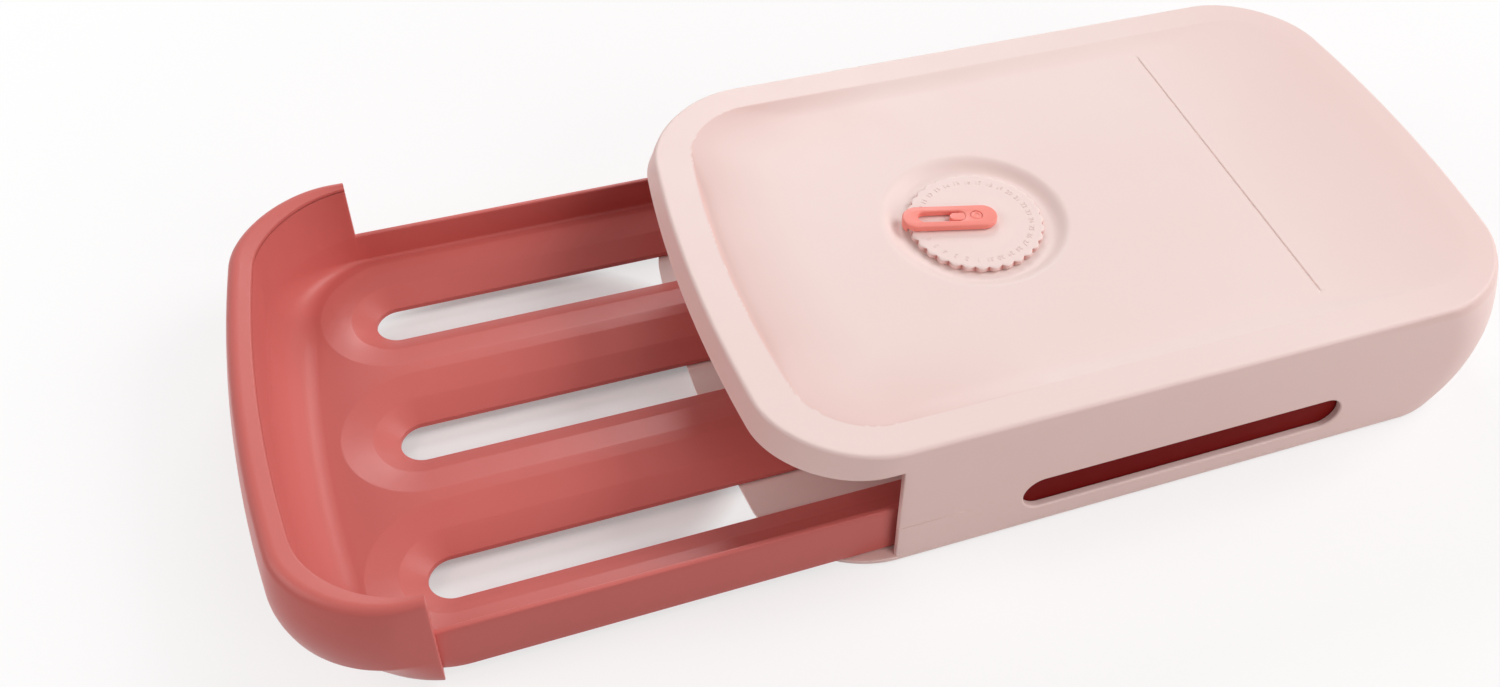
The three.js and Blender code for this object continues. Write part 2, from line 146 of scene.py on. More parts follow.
# Drawer tray
PULL = -slide["range_m"][0] / MM
PULL_PAST_REST = slide["range_m"][1] / MM
TRAY_WALL = 2.2
TRAY_SKIN = 2
TRAY_TOP = 26
DECK = 12
TRAY_BOTTOM = 2.8
TRAY_HALF = 100.2
TRAY_REAR_GAP = 1.6
TRAY_REAR_RADIUS = CORNER_RADIUS - WALL - TRAY_REAR_GAP
TROUGH_COUNT = 3
TROUGH_PITCH = 64.5
TROUGH_RADIUS = 29.5
STEP_RADIUS_SHARE = 0.62
STEP_DROP_SHARE = 0.35
TROUGH_MARGIN = 2
TROUGH_EASE = 0.4
SLOT_RADIUS = 9
SLOT_LAND = 0.1
FRONT_DECK = 10.5
REAR_DECK = 6
SIDE_FILLET = 1.4
FRONT_FILLET = 14.5
FILLET_STRETCH = 1.3
FILLET_MARGIN = 0.4
DRAFT_START = 0.6
TRAY_EDGE = 0.7

# Drawer front
FRONT_GAP = 0.8
FRONT_TOP = BAND_BOTTOM - FRONT_GAP
FASCIA_SKIN = 1.9
SEAT_GAP = 0.3
RIM_THICKNESS = 2.3
RIM_WIDTH = 8
RIM_SIDE_WIDTH = 4.2
RIM_HALF = HALF_WIDTH - RIM_SIDE_WIDTH
RIM_ROUND = 2.6
RIM_INNER_ROUND = 0.5
RIM_TILT = 0.9
RIM_SHARES = (0.12, 0.3, 0.6, 0.95, 1)
RIM_UNDER_EDGE = 0.2
FRONT_UNDERCUT = 8.5
FRONT_CREASE = 18.5
INNER_DRAFT = 2
CUT_GAP = 0.6
FRONT_CUT = CASE_CUT - CUT_GAP
FRONT_WALL_RADIUS = CORNER_RADIUS - FASCIA_SKIN - SEAT_GAP
FRONT_WALL_HALF = HALF_WIDTH - FASCIA_SKIN - SEAT_GAP
FRONT_WALL_TOP = FRONT_TOP - RIM_THICKNESS - SEAT_GAP

# Date dial
DIAL_Y = -43
WELL_FLOOR_RADIUS = 30.4
WELL_RADIUS = 38.9
WELL_DEPTH = 3.6
WELL_MARGIN = 1
WELL_FLOOR = FLOOR_HEIGHT - WELL_DEPTH
PIN_HOLE = 2.2
DISC_RADIUS = 27.4
DISC_BOTTOM = WELL_FLOOR + SEAT_GAP
DISC_THICKNESS = 2.2
DISC_TOP = DISC_BOTTOM + DISC_THICKNESS
BEADS = 31
BEAD_RISE = 0.6
BEAD_ROOT = 0.9
# Painted shade on the disc's beaded edge: its share on the beads, its width in from the edge, and
# how far below the top it begins
BEAD_SHADE = 0.25
BEAD_SHADE_WIDTH = 1.2
BEAD_SHADE_DROP = 0.3
NUMBER_SIZE = 3.1
NUMBER_RISE = 0.16
NUMBER_RADIUS = 22.6
NUMBER_STEPS = 3
# Inset, distance from the disc's bottom or top, and share of the beads
DISC_FOOT = ((0.4, 0, 0), (0, 0.3, 0.7), (0, 0.7, 1))
DISC_SHOULDER = ((0, 0.9, 1), (0.1, 0.45, 0.9), (0.35, 0.15, 0.6), (0.8, 0, 0.1), (1.3, 0, 0))
HUB_RADIUS = 12
HUB_EDGE = 0.3

# Pointer, its lip over the disc's edge, and the pin that holds it
POINTER_TURN = math.radians(-104)
POINTER_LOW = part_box("date_pointer")[0].z / MM
POINTER_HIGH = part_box("date_pointer")[1].z / MM
POINTER_THICKNESS = 2.6
POINTER_TAIL = 8.5
POINTER_WIDTH = 12
POINTER_REACH = 29.9
POINTER_WINDOW = 5.6
POINTER_EDGE = 0.6
WINDOW_NEAR = 4.5
WINDOW_FAR = 23.6
TONGUE_ROOT = 2
TONGUE_RADIUS = 2.2
TONGUE_MIDDLE = 8.6
TONGUE_EDGE = 0.4
TONGUE_LIFT = 0.1
TONGUE_DROP = 0.35
LIP_WIDTH = 1.5
LIP_INNER = POINTER_REACH - LIP_WIDTH
LIP_HALF = 3.9
LIP_SETBACK = 0.1
LIP_DROP = 1
LIP_EDGE = 0.25
CUT_BEYOND = 1
PIN_HEAD = 2.4
PIN_SEAT_GAP = 0.12
PIN_SEAT_DEPTH = 1.4
PIN_SHANK = 1.9
PIN_FOOT = 2.9
PIN_FOOT_HEIGHT = 0.8
PIN_FOOT_EDGE = 0.3
PIN_HEAD_HEIGHT = 1.1
CORE_RADIUS = 0.05
# Radius and drop from the top, over the head's rounded edge and into its dimple
PIN_TOP = ((2.25, 0.22), (1.9, 0.06), (1.4, 0), (1.25, 0.04), (1.1, 0.2), (0.9, 0.26))
PIN_EDGE_DROP = 0.5

# Clip, pads and rails
CLIP_HOLE = 2.2
CLIP_EDGE = 0.2
CLIP_TEETH = 6
TOOTH_STEPS = 16
SLIT_STEPS = 3
SLIT_DEPTH = 1.1
PAD_NUMBERS = range(1, 5)
# Inset from the pad's edge and rise from its bottom
PAD_RIM = ((2, 0.15), (1.6, 0), (0.5, 0), (0.15, 0.1), (0, 0.4))
RAIL_WEB = 1.2
RAIL_LIP = 1.6
RAIL_WIDTH = 3.5
RAIL_EDGE = 0.35
# Way along and inset at the rail's rounded ends
RAIL_ENDS = ((0, 0.35), (0.1, 0.12), (0.35, 0))

# Fineness of the meshes
EDGE_FINE = 60
CORNER_FINE = 80
FRONT_COLUMNS = 90
REAR_COLUMNS = 170
EASE_SHARES = (1, 0.62, 0.3, 0.08, 0)
ARC_STEPS = 6
EDGE_STEPS = 4
BLOCK_STEPS = 3
FOOT_STEPS = 3
RIM_STEPS = 8
LOW_WALL_STEPS = 5
EASE_LIMIT = 0.45
EASE_STEPS = 4
RAIL_STEPS = 3
FILLET_STEPS = 9
WELL_STEPS = 18
SLOPE_STEPS = 26
SLOPE_CROWDING = 1.5
END_STEPS = 40
ROUND_STEPS = 96
PAD_STEPS = 48
ROD_STEPS = 64
BEAD_STEPS = 10
POINTER_STEPS = 24
SAME_POINT = 1e-6
SLIVER = 2e-5

# Heights and shares at which the rows of the walls and of the lid lie
BAND_ROWS = (59.5, 57, 55, 53.5)
BAND_INSIDE = 56
SIDE_ROWS_HIGH = (48, 44, 40, 36, 32, 28, 24.5)
SIDE_ROWS_LOW = (15, 12, 9, 7, 5, 3.5)
SIDE_INSIDE = (9, 16, 30, 44)
CREASE_ROWS = (2, 1, 0.5, 0, -0.5, -1, -2)
WELL_FLOOR_RINGS = (9, 18)
FLOOR_SHARES = (0, 0.15, 0.35, 0.6, 0.85, 1)
LINE_SHARES = (-1, -0.5, 0, 0.5, 1)
BORDER_SHARES = (0.06, 0.35, 0.7, 0.95, 1)
TRAY_ROWS_HIGH = (22, FRONT_CREASE + 0.5, FRONT_CREASE, FRONT_CREASE - 0.5)
TRAY_ROWS_LOW = (14, 10, 6)
TALL_INSIDE = (26, 27, 30, 34, 38, 42, 46)
TALL_OUTSIDE = (42, 34, 28)
FASCIA_ROWS_LOW = (6, 10, 14, 17)
FASCIA_CREASE = (-0.6, -0.2, 0.2, 0.6)
FASCIA_ROWS_HIGH = (21, 24, 28, 32, 36, 40, 44, 46.5)
FASCIA_ROWS_BACK = (40, 30, FRONT_CREASE, 10, TRAY_BOTTOM)


@contextmanager
def opened(mesh):
    """A mesh opened for editing and then written back."""
    work = bmesh.new()
    work.from_mesh(mesh)
    yield work
    work.to_mesh(mesh)
    work.free()


def added(name, data):
    """A new object in the scene."""
    thing = bpy.data.objects.new(name, data)
    bpy.context.scene.collection.objects.link(thing)
    return thing


class Shape:
    """Points and faces of one piece, added row by row."""

    def __init__(self):
        self.points = []
        self.faces = []

    def row(self, points):
        start = len(self.points)
        self.points.extend(tuple(p) for p in points)
        return list(range(start, len(self.points)))

    def rings(self, levels):
        """A row for each pair of a half outline and its height or heights."""
        return [self.row(ring(half, z)) for half, z in levels]

    def strip(self, first, second, closed=True):
        count = len(first)
        for k in range(count if closed else count - 1):
            after = (k + 1) % count
            self.faces.append((first[k], first[after], second[after], second[k]))

    def strips(self, rows, closed=True):
        for first, second in zip(rows, rows[1:]):
            self.strip(first, second, closed)

    def part(self, rows, places):
        """Joins the rows at some of their places only."""
        picked = [[row[k] for k in places] for row in rows]
        self.strips(picked, closed=False)
        return picked

    def face(self, corners):
        self.faces.append(tuple(corners))

    def fill(self, *loops):
        """A flat cap inside the first loop and outside the others."""
        lists = [[Vector(self.points[k]) for k in loop] for loop in loops]
        flat = [k for loop in loops for k in loop]
        for triangle in tessellate_polygon(lists):
            self.faces.append(tuple(flat[k] for k in triangle))

    def piece(self, name):
        mesh = bpy.data.meshes.new(name)
        mesh.from_pydata([(x * MM, y * MM, z * MM) for x, y, z in self.points], [], self.faces)
        merge(mesh, SAME_POINT)
        with opened(mesh) as work:
            loose = [point for point in work.verts if not point.link_faces]
            bmesh.ops.delete(work, geom=loose, context="VERTS")
            bmesh.ops.recalc_face_normals(work, faces=work.faces)
        return added(name, mesh)


def merge(mesh, distance):
    """Merges points closer than the distance, and drops the faces that this empties."""
    with opened(mesh) as work:
        bmesh.ops.remove_doubles(work, verts=work.verts, dist=distance)
        bmesh.ops.dissolve_degenerate(work, edges=work.edges, dist=distance)


def smooth(thing, degrees=35):
    """Smooth shading, broken along edges that turn by more than the angle."""
    thing.data.shade_smooth()
    limit = math.radians(degrees)
    with opened(thing.data) as work:
        for edge in work.edges:
            if len(edge.link_faces) != 2 or edge.calc_face_angle(0) > limit:
                edge.smooth = False
    return thing


def combine(thing, tool, operation):
    """Joins or cuts a piece with another body, which is then deleted."""
    modifier = thing.modifiers.new("join", "BOOLEAN")
    modifier.operation = operation
    modifier.solver = "EXACT"
    modifier.object = tool
    view = bpy.context.evaluated_depsgraph_get()
    view.update()
    joined = bpy.data.meshes.new_from_object(thing.evaluated_get(view))
    thing.modifiers.remove(modifier)
    thing.data = joined
    bpy.data.objects.remove(tool)


def arc(steps):
    """Pairs of sine and cosine over a quarter turn."""
    return [(math.sin(a), math.cos(a)) for a in np.linspace(0, math.pi / 2, steps + 1)]


def rounding(radius, steps=ARC_STEPS):
    """Pairs that fall from the radius to nought and rise to it, over a rounded edge."""
    return [(radius * (1 - sine), radius * (1 - cosine)) for sine, cosine in arc(steps)]


def rounded_edge(width, radius, steps):
    """Pairs of the way across and the rise, over a wall's edge with both corners rounded."""
    near = [(radius * (1 - cosine), radius * sine) for sine, cosine in arc(steps)[1:]]
    return near + [(width - across, rise) for across, rise in near[::-1]]


def round_ends(ends, radius, steps=END_STEPS):
    """An outline made of half a turn round the middle of each end, from the end's own angle."""
    return [
        (x + radius * math.cos(a), y + radius * math.sin(a))
        for x, y, start in ends
        for a in np.linspace(start, start + math.pi, steps + 1)
    ]


def eased_line(points, radius, steps=EASE_STEPS):
    """A line through the points with its inner corners rounded."""
    line = [np.array(points[0], float)]
    for before, corner, after in zip(points, points[1:], points[2:]):
        corner = np.array(corner, float)
        back = np.array(before, float) - corner
        ahead = np.array(after, float) - corner
        before_length, after_length = np.linalg.norm(back), np.linalg.norm(ahead)
        reach = min(radius, before_length * EASE_LIMIT, after_length * EASE_LIMIT)
        start = corner + back / before_length * reach
        end = corner + ahead / after_length * reach
        for t in np.linspace(0, 1, steps + 1):
            line.append((1 - t) ** 2 * start + 2 * t * (1 - t) * corner + t**2 * end)
    line.append(np.array(points[-1], float))
    return line


def half_plan(sizes, inset=0.0):
    """The +X half of an outline seen from above, from the middle of its front to its rear.

    Its sizes are half the width, the reach in front and behind, and the two corner radii.
    """
    half, front, rear, front_radius, rear_radius = (size - inset for size in sizes)

    def end(reach, radius):
        flat = np.linspace(0, half - radius, EDGE_FINE)
        turn = np.linspace(math.pi / 2, 0, CORNER_FINE)[1:]
        across = half - radius + radius * np.cos(turn)
        flat_y = reach + END_BOW * (1 - (flat / half) ** 2)
        turn_y = reach - radius + (radius + END_BOW * (1 - (across / half) ** 2)) * np.sin(turn)
        return np.r_[flat, across], np.r_[flat_y, turn_y]

    front_x, front_y = end(front, front_radius)
    rear_x, rear_y = end(rear, rear_radius)
    return np.c_[np.r_[front_x, rear_x[::-1]], np.r_[-front_y, rear_y[::-1]]]


def columns(outline, cut):
    """Points at matching places along a half outline, with two columns on the cut line."""
    steps = np.hypot(*np.diff(outline, axis=0).T)
    along = np.r_[0, np.cumsum(steps)]
    ahead = [cut - MOULD_EDGE * share for share in EASE_SHARES]
    behind = [cut + MOULD_EDGE * share for share in reversed(EASE_SHARES)]
    stations = np.interp(ahead + behind, outline[:, 1], along)
    first = np.linspace(0, stations[0], FRONT_COLUMNS + 1)[:-1]
    last = np.linspace(stations[-1], along[-1], REAR_COLUMNS + 1)[1:]
    places = np.r_[first, stations, last]
    return np.c_[np.interp(places, along, outline[:, 0]), np.interp(places, along, outline[:, 1])]


# The two columns on the cut line, and the parts of a ring in front of it and behind
AHEAD = FRONT_COLUMNS + len(EASE_SHARES) - 1
BEHIND = AHEAD + 1
HALF_COUNT = FRONT_COLUMNS + 2 * len(EASE_SHARES) + REAR_COLUMNS
RING_COUNT = 2 * (HALF_COUNT - 1)
FRONT_PART = [k % RING_COUNT for k in range(-AHEAD, AHEAD + 1)]
REAR_PART = list(range(BEHIND, RING_COUNT - BEHIND + 1))


def ring(half, z):
    """A closed ring from its +X half, at one height or a height for each column."""
    left = half[-2:0:-1] * (-1, 1)
    both = np.r_[half, left]
    heights = np.r_[z, z[-2:0:-1]] if np.ndim(z) else np.full(len(both), float(z))
    return np.c_[both, heights]


def end_inset(half, cut, side):
    """How far a wall is rounded off next to its end at the cut, for each column."""
    distance = (half[:, 1] - cut) * side
    near = np.clip((MOULD_EDGE - distance) / MOULD_EDGE, 0, 1)
    near[distance < -SAME_POINT] = 0
    return MOULD_EDGE * (1 - np.sqrt(1 - near**2))


def narrowed(half, amount):
    return np.c_[half[:, 0] - amount, half[:, 1]]


# How far the ends of the case and of the drawer front stand out at a height
def wave(z):
    return max(0.0, math.sin(math.pi * z / CASE_HEIGHT))


def belly(z):
    return FRONT_BELLY * wave(z) ** BELLY_POWER


def rear_bulge(z):
    under = max(0.0, 1 - z / CASE_HEIGHT / UNDERCUT_SHARE)
    return REAR_BELLY * wave(z) - REAR_UNDERCUT * under**2


def front_corner(bulge):
    return CORNER_RADIUS * (1 - TIGHTEN_SHARE * max(0.0, bulge / FRONT_BELLY))


def front_bulge(z):
    if z >= FRONT_CREASE:
        return belly(z)
    share = (z - TRAY_BOTTOM) / (FRONT_CREASE - TRAY_BOTTOM)
    return -FRONT_UNDERCUT + share * (belly(FRONT_CREASE) + FRONT_UNDERCUT)


def case_half(z, inset=0.0):
    front = HALF_LENGTH + belly(z)
    rear = HALF_LENGTH + rear_bulge(z)
    tight = CORNER_RADIUS * (1 - TIGHTEN_SHARE * wave(z))
    sizes = (HALF_WIDTH, front, rear, front_corner(belly(z)), tight)
    return columns(half_plan(sizes, inset), CASE_CUT)


def recess_half(side, front, rear, corners, spread, straight=False):
    """An outline in the lid, at its distances from the case's side and front."""
    sizes = (HALF_WIDTH - side, HALF_LENGTH - front, rear, *corners)
    outline = half_plan(sizes, -spread)
    if straight:
        outline[:, 1] = np.minimum(outline[:, 1], rear + spread)
    return columns(outline, CASE_CUT * (HALF_LENGTH - front) / HALF_LENGTH)


def rim_half(spread=0.0):
    corners = (RECESS_CORNER, RECESS_CORNER)
    return recess_half(BORDER, FRONT_BORDER, HALF_LENGTH - REAR_BORDER, corners, spread)


def floor_half(spread=0.0):
    side = BORDER + SIDE_SLOPE
    front = FRONT_BORDER + FRONT_SLOPE
    corners = (FLOOR_CORNER, LINE_CORNER)
    return recess_half(side, front, RAMP_START, corners, spread, straight=True)


def dial_circle(toward, radius):
    """Points round the dial in the directions of a half outline."""
    away = toward - (0, DIAL_Y)
    return away / np.linalg.norm(away, axis=1)[:, None] * radius + (0, DIAL_Y)


def front_step(rim):
    """One in the middle of the lid's front border, fading to nought before its corners."""
    share = np.clip((STEP_END - rim[:, 0]) / STEP_FADE, 0, 1) * (rim[:, 1] < 0)
    return share * share * (3 - 2 * share)


def lid_rows(shape):
    """The top of the lid, from the pin's hole outwards to the start of the outer wall."""
    floor = floor_half()
    rim = rim_half()
    rows = []
    for radius in (PIN_HOLE, *WELL_FLOOR_RINGS, WELL_FLOOR_RADIUS - WELL_MARGIN):
        rows.append((dial_circle(floor, radius), WELL_FLOOR))
    for share in np.linspace(0, 1, WELL_STEPS + 1):
        radius = WELL_FLOOR_RADIUS + share * (WELL_RADIUS - WELL_FLOOR_RADIUS)
        height = WELL_FLOOR + (FLOOR_HEIGHT - WELL_FLOOR) * (1 - math.cos(math.pi * share)) / 2
        rows.append((dial_circle(floor, radius), height))
    mouth = dial_circle(floor, WELL_RADIUS + WELL_MARGIN)
    shrunk = floor_half(-2 * LINE_HALF)
    for share in FLOOR_SHARES:
        rows.append((mouth * (1 - share) + shrunk * share, FLOOR_HEIGHT))
    for offset in LINE_SHARES:
        line = floor_half(offset * LINE_HALF)
        on_line = np.abs(line[:, 1] - RAMP_START - offset * LINE_HALF) < SAME_POINT
        fade = np.clip((HALF_WIDTH - BORDER - SIDE_SLOPE - line[:, 0]) / LINE_FADE, 0, 1)
        depth = LINE_DEPTH * (1 - abs(offset)) * fade * on_line
        rows.append((line, FLOOR_HEIGHT - depth))
    start = floor_half(LINE_HALF)
    reach = np.linalg.norm(rim - start, axis=1)
    longest = reach**2 / (reach + SLOPE_EASE)
    stepped = front_step(rim)
    for share in 1 - np.linspace(1, 0, SLOPE_STEPS + 1)[1:] ** SLOPE_CROWDING:
        inward = reach * (1 - share)
        down = inward**2 / (inward + SLOPE_EASE) / longest
        height = CASE_HEIGHT - LID_SINK * (1 - (1 - down) ** SLOPE_POWER)
        dip = FLOOR_HEIGHT - FRONT_DIP * share**2 if share < 1 else CASE_HEIGHT
        height = height * (1 - stepped) + dip * stepped
        rows.append((start * (1 - share) + rim * share, height))
    edge = case_half(CASE_HEIGHT, LID_EDGE)
    for share in BORDER_SHARES:
        rows.append((rim * (1 - share) + edge * share, CASE_HEIGHT))
    for inset, drop in rounding(LID_EDGE)[1:]:
        rows.append((case_half(CASE_HEIGHT, inset), CASE_HEIGHT - drop))
    return shape.rings(rows)


def lid_under_rows(shape):
    """The underside of the lid, from the inner wall to the pin's hole."""
    floor = floor_half(LID_SKIN)
    rim = rim_half(LID_SKIN)
    under = CASE_HEIGHT - LID_SKIN
    rows = (
        (case_half(under, WALL + INNER_CHAMFER), under),
        (rim, under - (LID_SINK + FRONT_DIP) * front_step(rim)),
        (floor, FLOOR_HEIGHT - LID_SKIN),
        (dial_circle(floor, WELL_RADIUS + LID_SKIN), FLOOR_HEIGHT - LID_SKIN),
        (dial_circle(floor, WELL_FLOOR_RADIUS + LID_SKIN), WELL_FLOOR - LID_SKIN),
        (dial_circle(floor, PIN_HOLE), WELL_FLOOR - LID_SKIN),
    )
    return shape.rings(rows)


def side_half(z):
    """The outer wall at a height, with its faint crease and its rounded front end."""
    half = case_half(z)
    near = max(0.0, 1 - abs(z - CREASE_Z) / CREASE_HALF)
    fade = np.clip((CREASE_END - half[:, 1]) / (CREASE_END - CASE_CUT), 0, 1)
    crease = CREASE_DEPTH * near * fade**CREASE_FADE_POWER
    return narrowed(half, end_inset(half, CASE_CUT, 1) + crease)


def window_cutter(side):
    """A slot-shaped body through one side wall, flared where it meets the outside."""
    shape = Shape()
    sections = [(HALF_WIDTH - 3 * WALL, 0)]
    sections += [(HALF_WIDTH - inset, spread) for inset, spread in rounding(WINDOW_EDGE)[:-1]]
    sections.append((HALF_WIDTH + WALL, WINDOW_EDGE + WALL))
    run = (WINDOW_LENGTH - WINDOW_HEIGHT) / 2
    quarter = math.pi / 2
    ends = ((WINDOW_Y - run, WINDOW_Z, quarter), (WINDOW_Y + run, WINDOW_Z, -quarter))
    rows = []
    for x, spread in sections:
        outline = round_ends(ends, WINDOW_HEIGHT / 2 + spread)
        rows.append(shape.row([(side * x, y, z) for y, z in outline]))
    shape.strips(rows)
    shape.fill(rows[0])
    shape.fill(rows[-1])
    return shape.piece("window_cutter")


def shade_lid(mesh):
    """Stores the lid's painted shade, a pinker colour: in front, inside its border, and towards its
    rear.
    """
    places = np.empty(3 * len(mesh.vertices))
    mesh.vertices.foreach_get("co", places)
    x, y, z = (places.reshape(-1, 3) / MM).T
    rim = rim_half()
    ends = np.r_[rim[1:], rim[-1:]]
    along = ends - rim
    length = np.maximum((along**2).sum(1), SAME_POINT)
    away = outward(rim)
    shade = np.zeros(len(x))
    for k in np.nonzero(z > WELL_FLOOR - SAME_POINT)[0]:
        from_rim = np.array((abs(x[k]), y[k])) - rim
        t = np.clip((from_rim * along).sum(1) / length, 0, 1)
        gaps = np.hypot(*(from_rim - along * t[:, None]).T)
        nearest = gaps.argmin()
        gap = gaps[nearest]
        inside = (from_rim[nearest] * away[nearest]).sum() < -SAME_POINT
        if inside and y[k] < 0:
            front = min(1, max(0, (SHADE_START - y[k]) / SHADE_BLEND))
            shade[k] = front * max(0, 1 - gap / SHADE_REACH) ** SHADE_POWER
        if y[k] > RAMP_START:
            shade[k] = REAR_SHADE * min(1, (y[k] - RAMP_START) / REAR_SHADE_LENGTH)
    mesh.attributes.new(SHADE_NAME, "FLOAT", "POINT").data.foreach_set("value", shade)


def make_shell():
    shape = Shape()
    top = lid_rows(shape)
    join = BAND_BOTTOM + MOULD_EDGE
    chamfer = CASE_HEIGHT - LID_SKIN - INNER_CHAMFER
    outer = shape.rings((case_half(z), z) for z in (*BAND_ROWS, join))
    inner = shape.rings((case_half(z, WALL), z) for z in (join, BAND_INSIDE, chamfer))
    under = lid_under_rows(shape)
    shape.strips([*top, *outer])
    shape.strips([*inner, *under])
    shape.strip(under[-1], top[0])

    # Front: the lower edge of the band over the mouth
    turn = rounded_edge(WALL, MOULD_EDGE, EDGE_STEPS)
    edge = shape.rings((case_half(BAND_BOTTOM, inset), join - drop) for inset, drop in turn)
    band = shape.part((outer[-1], *edge, inner[0]), FRONT_PART)

    # Rear and sides: the wall down to the base plate
    crease = [CREASE_Z + share * CREASE_HALF for share in CREASE_ROWS]
    heights = [BAND_BOTTOM, *SIDE_ROWS_HIGH, *crease, *SIDE_ROWS_LOW, PLATE]
    wall = [(side_half(z), z) for z in heights]
    for z in (PLATE, *SIDE_INSIDE, BAND_BOTTOM):
        half = case_half(z, WALL)
        wall.append((narrowed(half, -end_inset(half, CASE_CUT, 1)), z))
    wall = shape.part((outer[-1], *shape.rings(wall), inner[0]), REAR_PART)

    # The two ends where the band meets the side walls
    middle = len(band) // 2
    for band_end, wall_end in ((-1, 0), (0, -1)):
        shape.face([row[band_end] for row in band[:middle]])
        shape.face([row[band_end] for row in band[middle:]])
        shape.fill([row[wall_end] for row in wall[1:-1]])

    shell = shape.piece("shell")
    for side in (-1, 1):
        combine(shell, window_cutter(side), "DIFFERENCE")
    shade_lid(shell.data)
    return smooth(shell)


def circle(x, y, radius, z, steps):
    return [
        (x + radius * math.cos(a), y + radius * math.sin(a), z)
        for a in np.linspace(0, 2 * math.pi, steps, endpoint=False)
    ]


def rounded_block(low, high, radius):
    """A small block with rounded edges, between two corners."""
    low, high = Vector(low), Vector(high)
    edge = {"offset": radius, "segments": BLOCK_STEPS, "profile": 0.5, "affect": "EDGES"}
    mesh = bpy.data.meshes.new("block")
    with opened(mesh) as work:
        bmesh.ops.create_cube(work, size=1)
        bmesh.ops.scale(work, vec=high - low, verts=work.verts)
        bmesh.ops.translate(work, vec=(low + high) / 2, verts=work.verts)
        bmesh.ops.bevel(work, geom=work.edges, **edge)
        bmesh.ops.scale(work, vec=(MM, MM, MM), verts=work.verts)
    return added("block", mesh)


def pad_place(number):
    """Middle, radius, bottom and top of a pad."""
    low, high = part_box(f"foot_{number}")
    middle = (low + high) / 2 / MM
    return middle.x, middle.y, (high.x - low.x) / 2 / MM, low.z / MM, high.z / MM


def make_base():
    """The base plate, with a recess for each pad and two stops that catch the drawer."""
    shape = Shape()
    levels = rounding(PLATE_EDGE)[::-1]
    levels += [(PLATE - PLATE_TOP_EDGE, 0), (PLATE, PLATE_TOP_INSET)]
    rows = shape.rings((case_half(z, inset), z) for z, inset in levels)
    shape.strips(rows)
    shape.fill(rows[-1])
    recesses = []
    for number in PAD_NUMBERS:
        x, y, radius, _, top = pad_place(number)
        walls = [circle(x, y, radius + SEAT_GAP, z, PAD_STEPS) for z in (0, top + SEAT_GAP)]
        mouth, roof = map(shape.row, walls)
        shape.strip(mouth, roof)
        shape.fill(roof)
        recesses.append(mouth)
    shape.fill(rows[0], *recesses)
    base = shape.piece("base")
    for side in (-1, 1):
        x = side * TROUGH_PITCH / 2
        low = (x - STOP_HALF, STOP_REAR - STOP_DEPTH, PLATE / 2)
        high = (x + STOP_HALF, STOP_REAR, plate_high.z)
        combine(base, rounded_block(low, high, STOP_ROUND), "UNION")
    return smooth(base)


# Places in the closed drawer that follow from the case's bellied ends
TRAY_REAR = HALF_LENGTH + rear_bulge(TRAY_BOTTOM) - WALL - TRAY_REAR_GAP
RIM_FRONT = HALF_LENGTH + belly(FRONT_TOP) - RIM_WIDTH
FRONT_WALL_FRONT = RIM_FRONT + TRAY_WALL
TROUGH_FRONT = FRONT_DECK + INNER_DRAFT - RIM_FRONT
TROUGH_REAR = TRAY_REAR - REAR_DECK
TRAY_INNER_CORNERS = (FRONT_WALL_RADIUS - TRAY_WALL, TRAY_REAR_RADIUS - TRAY_WALL)
STOP_BOW = END_BOW * (1 - (TROUGH_PITCH / 2 / TRAY_HALF) ** 2)
STOP_REAR = TRAY_REAR + STOP_BOW - TRAY_WALL - PULL - PULL_PAST_REST - STOP_GAP


def tray_inside(z, inset=0.0):
    """The inner wall, which leans outwards and meets the rim at its top."""
    rise = max(0.0, (z - TRAY_TOP) / (FRONT_TOP - TRAY_TOP))
    half = TRAY_HALF - TRAY_WALL + rise * (RIM_HALF - TRAY_HALF + TRAY_WALL)
    draft = INNER_DRAFT * (FRONT_TOP - z) / (FRONT_TOP - DECK)
    sizes = (half, RIM_FRONT - draft, TRAY_REAR - TRAY_WALL, *TRAY_INNER_CORNERS)
    return columns(half_plan(sizes, inset), FRONT_CUT)


def tray_reach(z):
    return min(FRONT_WALL_FRONT, HALF_LENGTH + front_bulge(z) - FASCIA_SKIN - SEAT_GAP)


def tray_outside(z, inset=0.0):
    """The outer wall: wide in front, where the drawer front covers it, and narrow behind."""
    sizes = (tray_reach(z), TRAY_REAR, FRONT_WALL_RADIUS, TRAY_REAR_RADIUS)
    wide = columns(half_plan((FRONT_WALL_HALF, *sizes), inset), FRONT_CUT)
    narrow = columns(half_plan((TRAY_HALF, *sizes), inset), FRONT_CUT)
    return np.r_[wide[: AHEAD + 1], narrow[BEHIND:]]


def tray_under(z):
    """The inner side of the skirt below the deck."""
    front = min(RIM_FRONT - INNER_DRAFT, tray_reach(z) - TRAY_WALL)
    sizes = (TRAY_HALF - TRAY_WALL, front, TRAY_REAR - TRAY_WALL, *TRAY_INNER_CORNERS)
    return columns(half_plan(sizes), FRONT_CUT)


def outward(half):
    """Unit vectors that point out of a half outline."""
    along = np.gradient(half, axis=0)
    along[AHEAD] = half[AHEAD] - half[AHEAD - 1]
    along[BEHIND] = half[BEHIND + 1] - half[BEHIND]
    along /= np.linalg.norm(along, axis=1)[:, None]
    away = np.c_[along[:, 1], -along[:, 0]]
    away[0] = (0, -1)
    away[-1] = (0, 1)
    return away


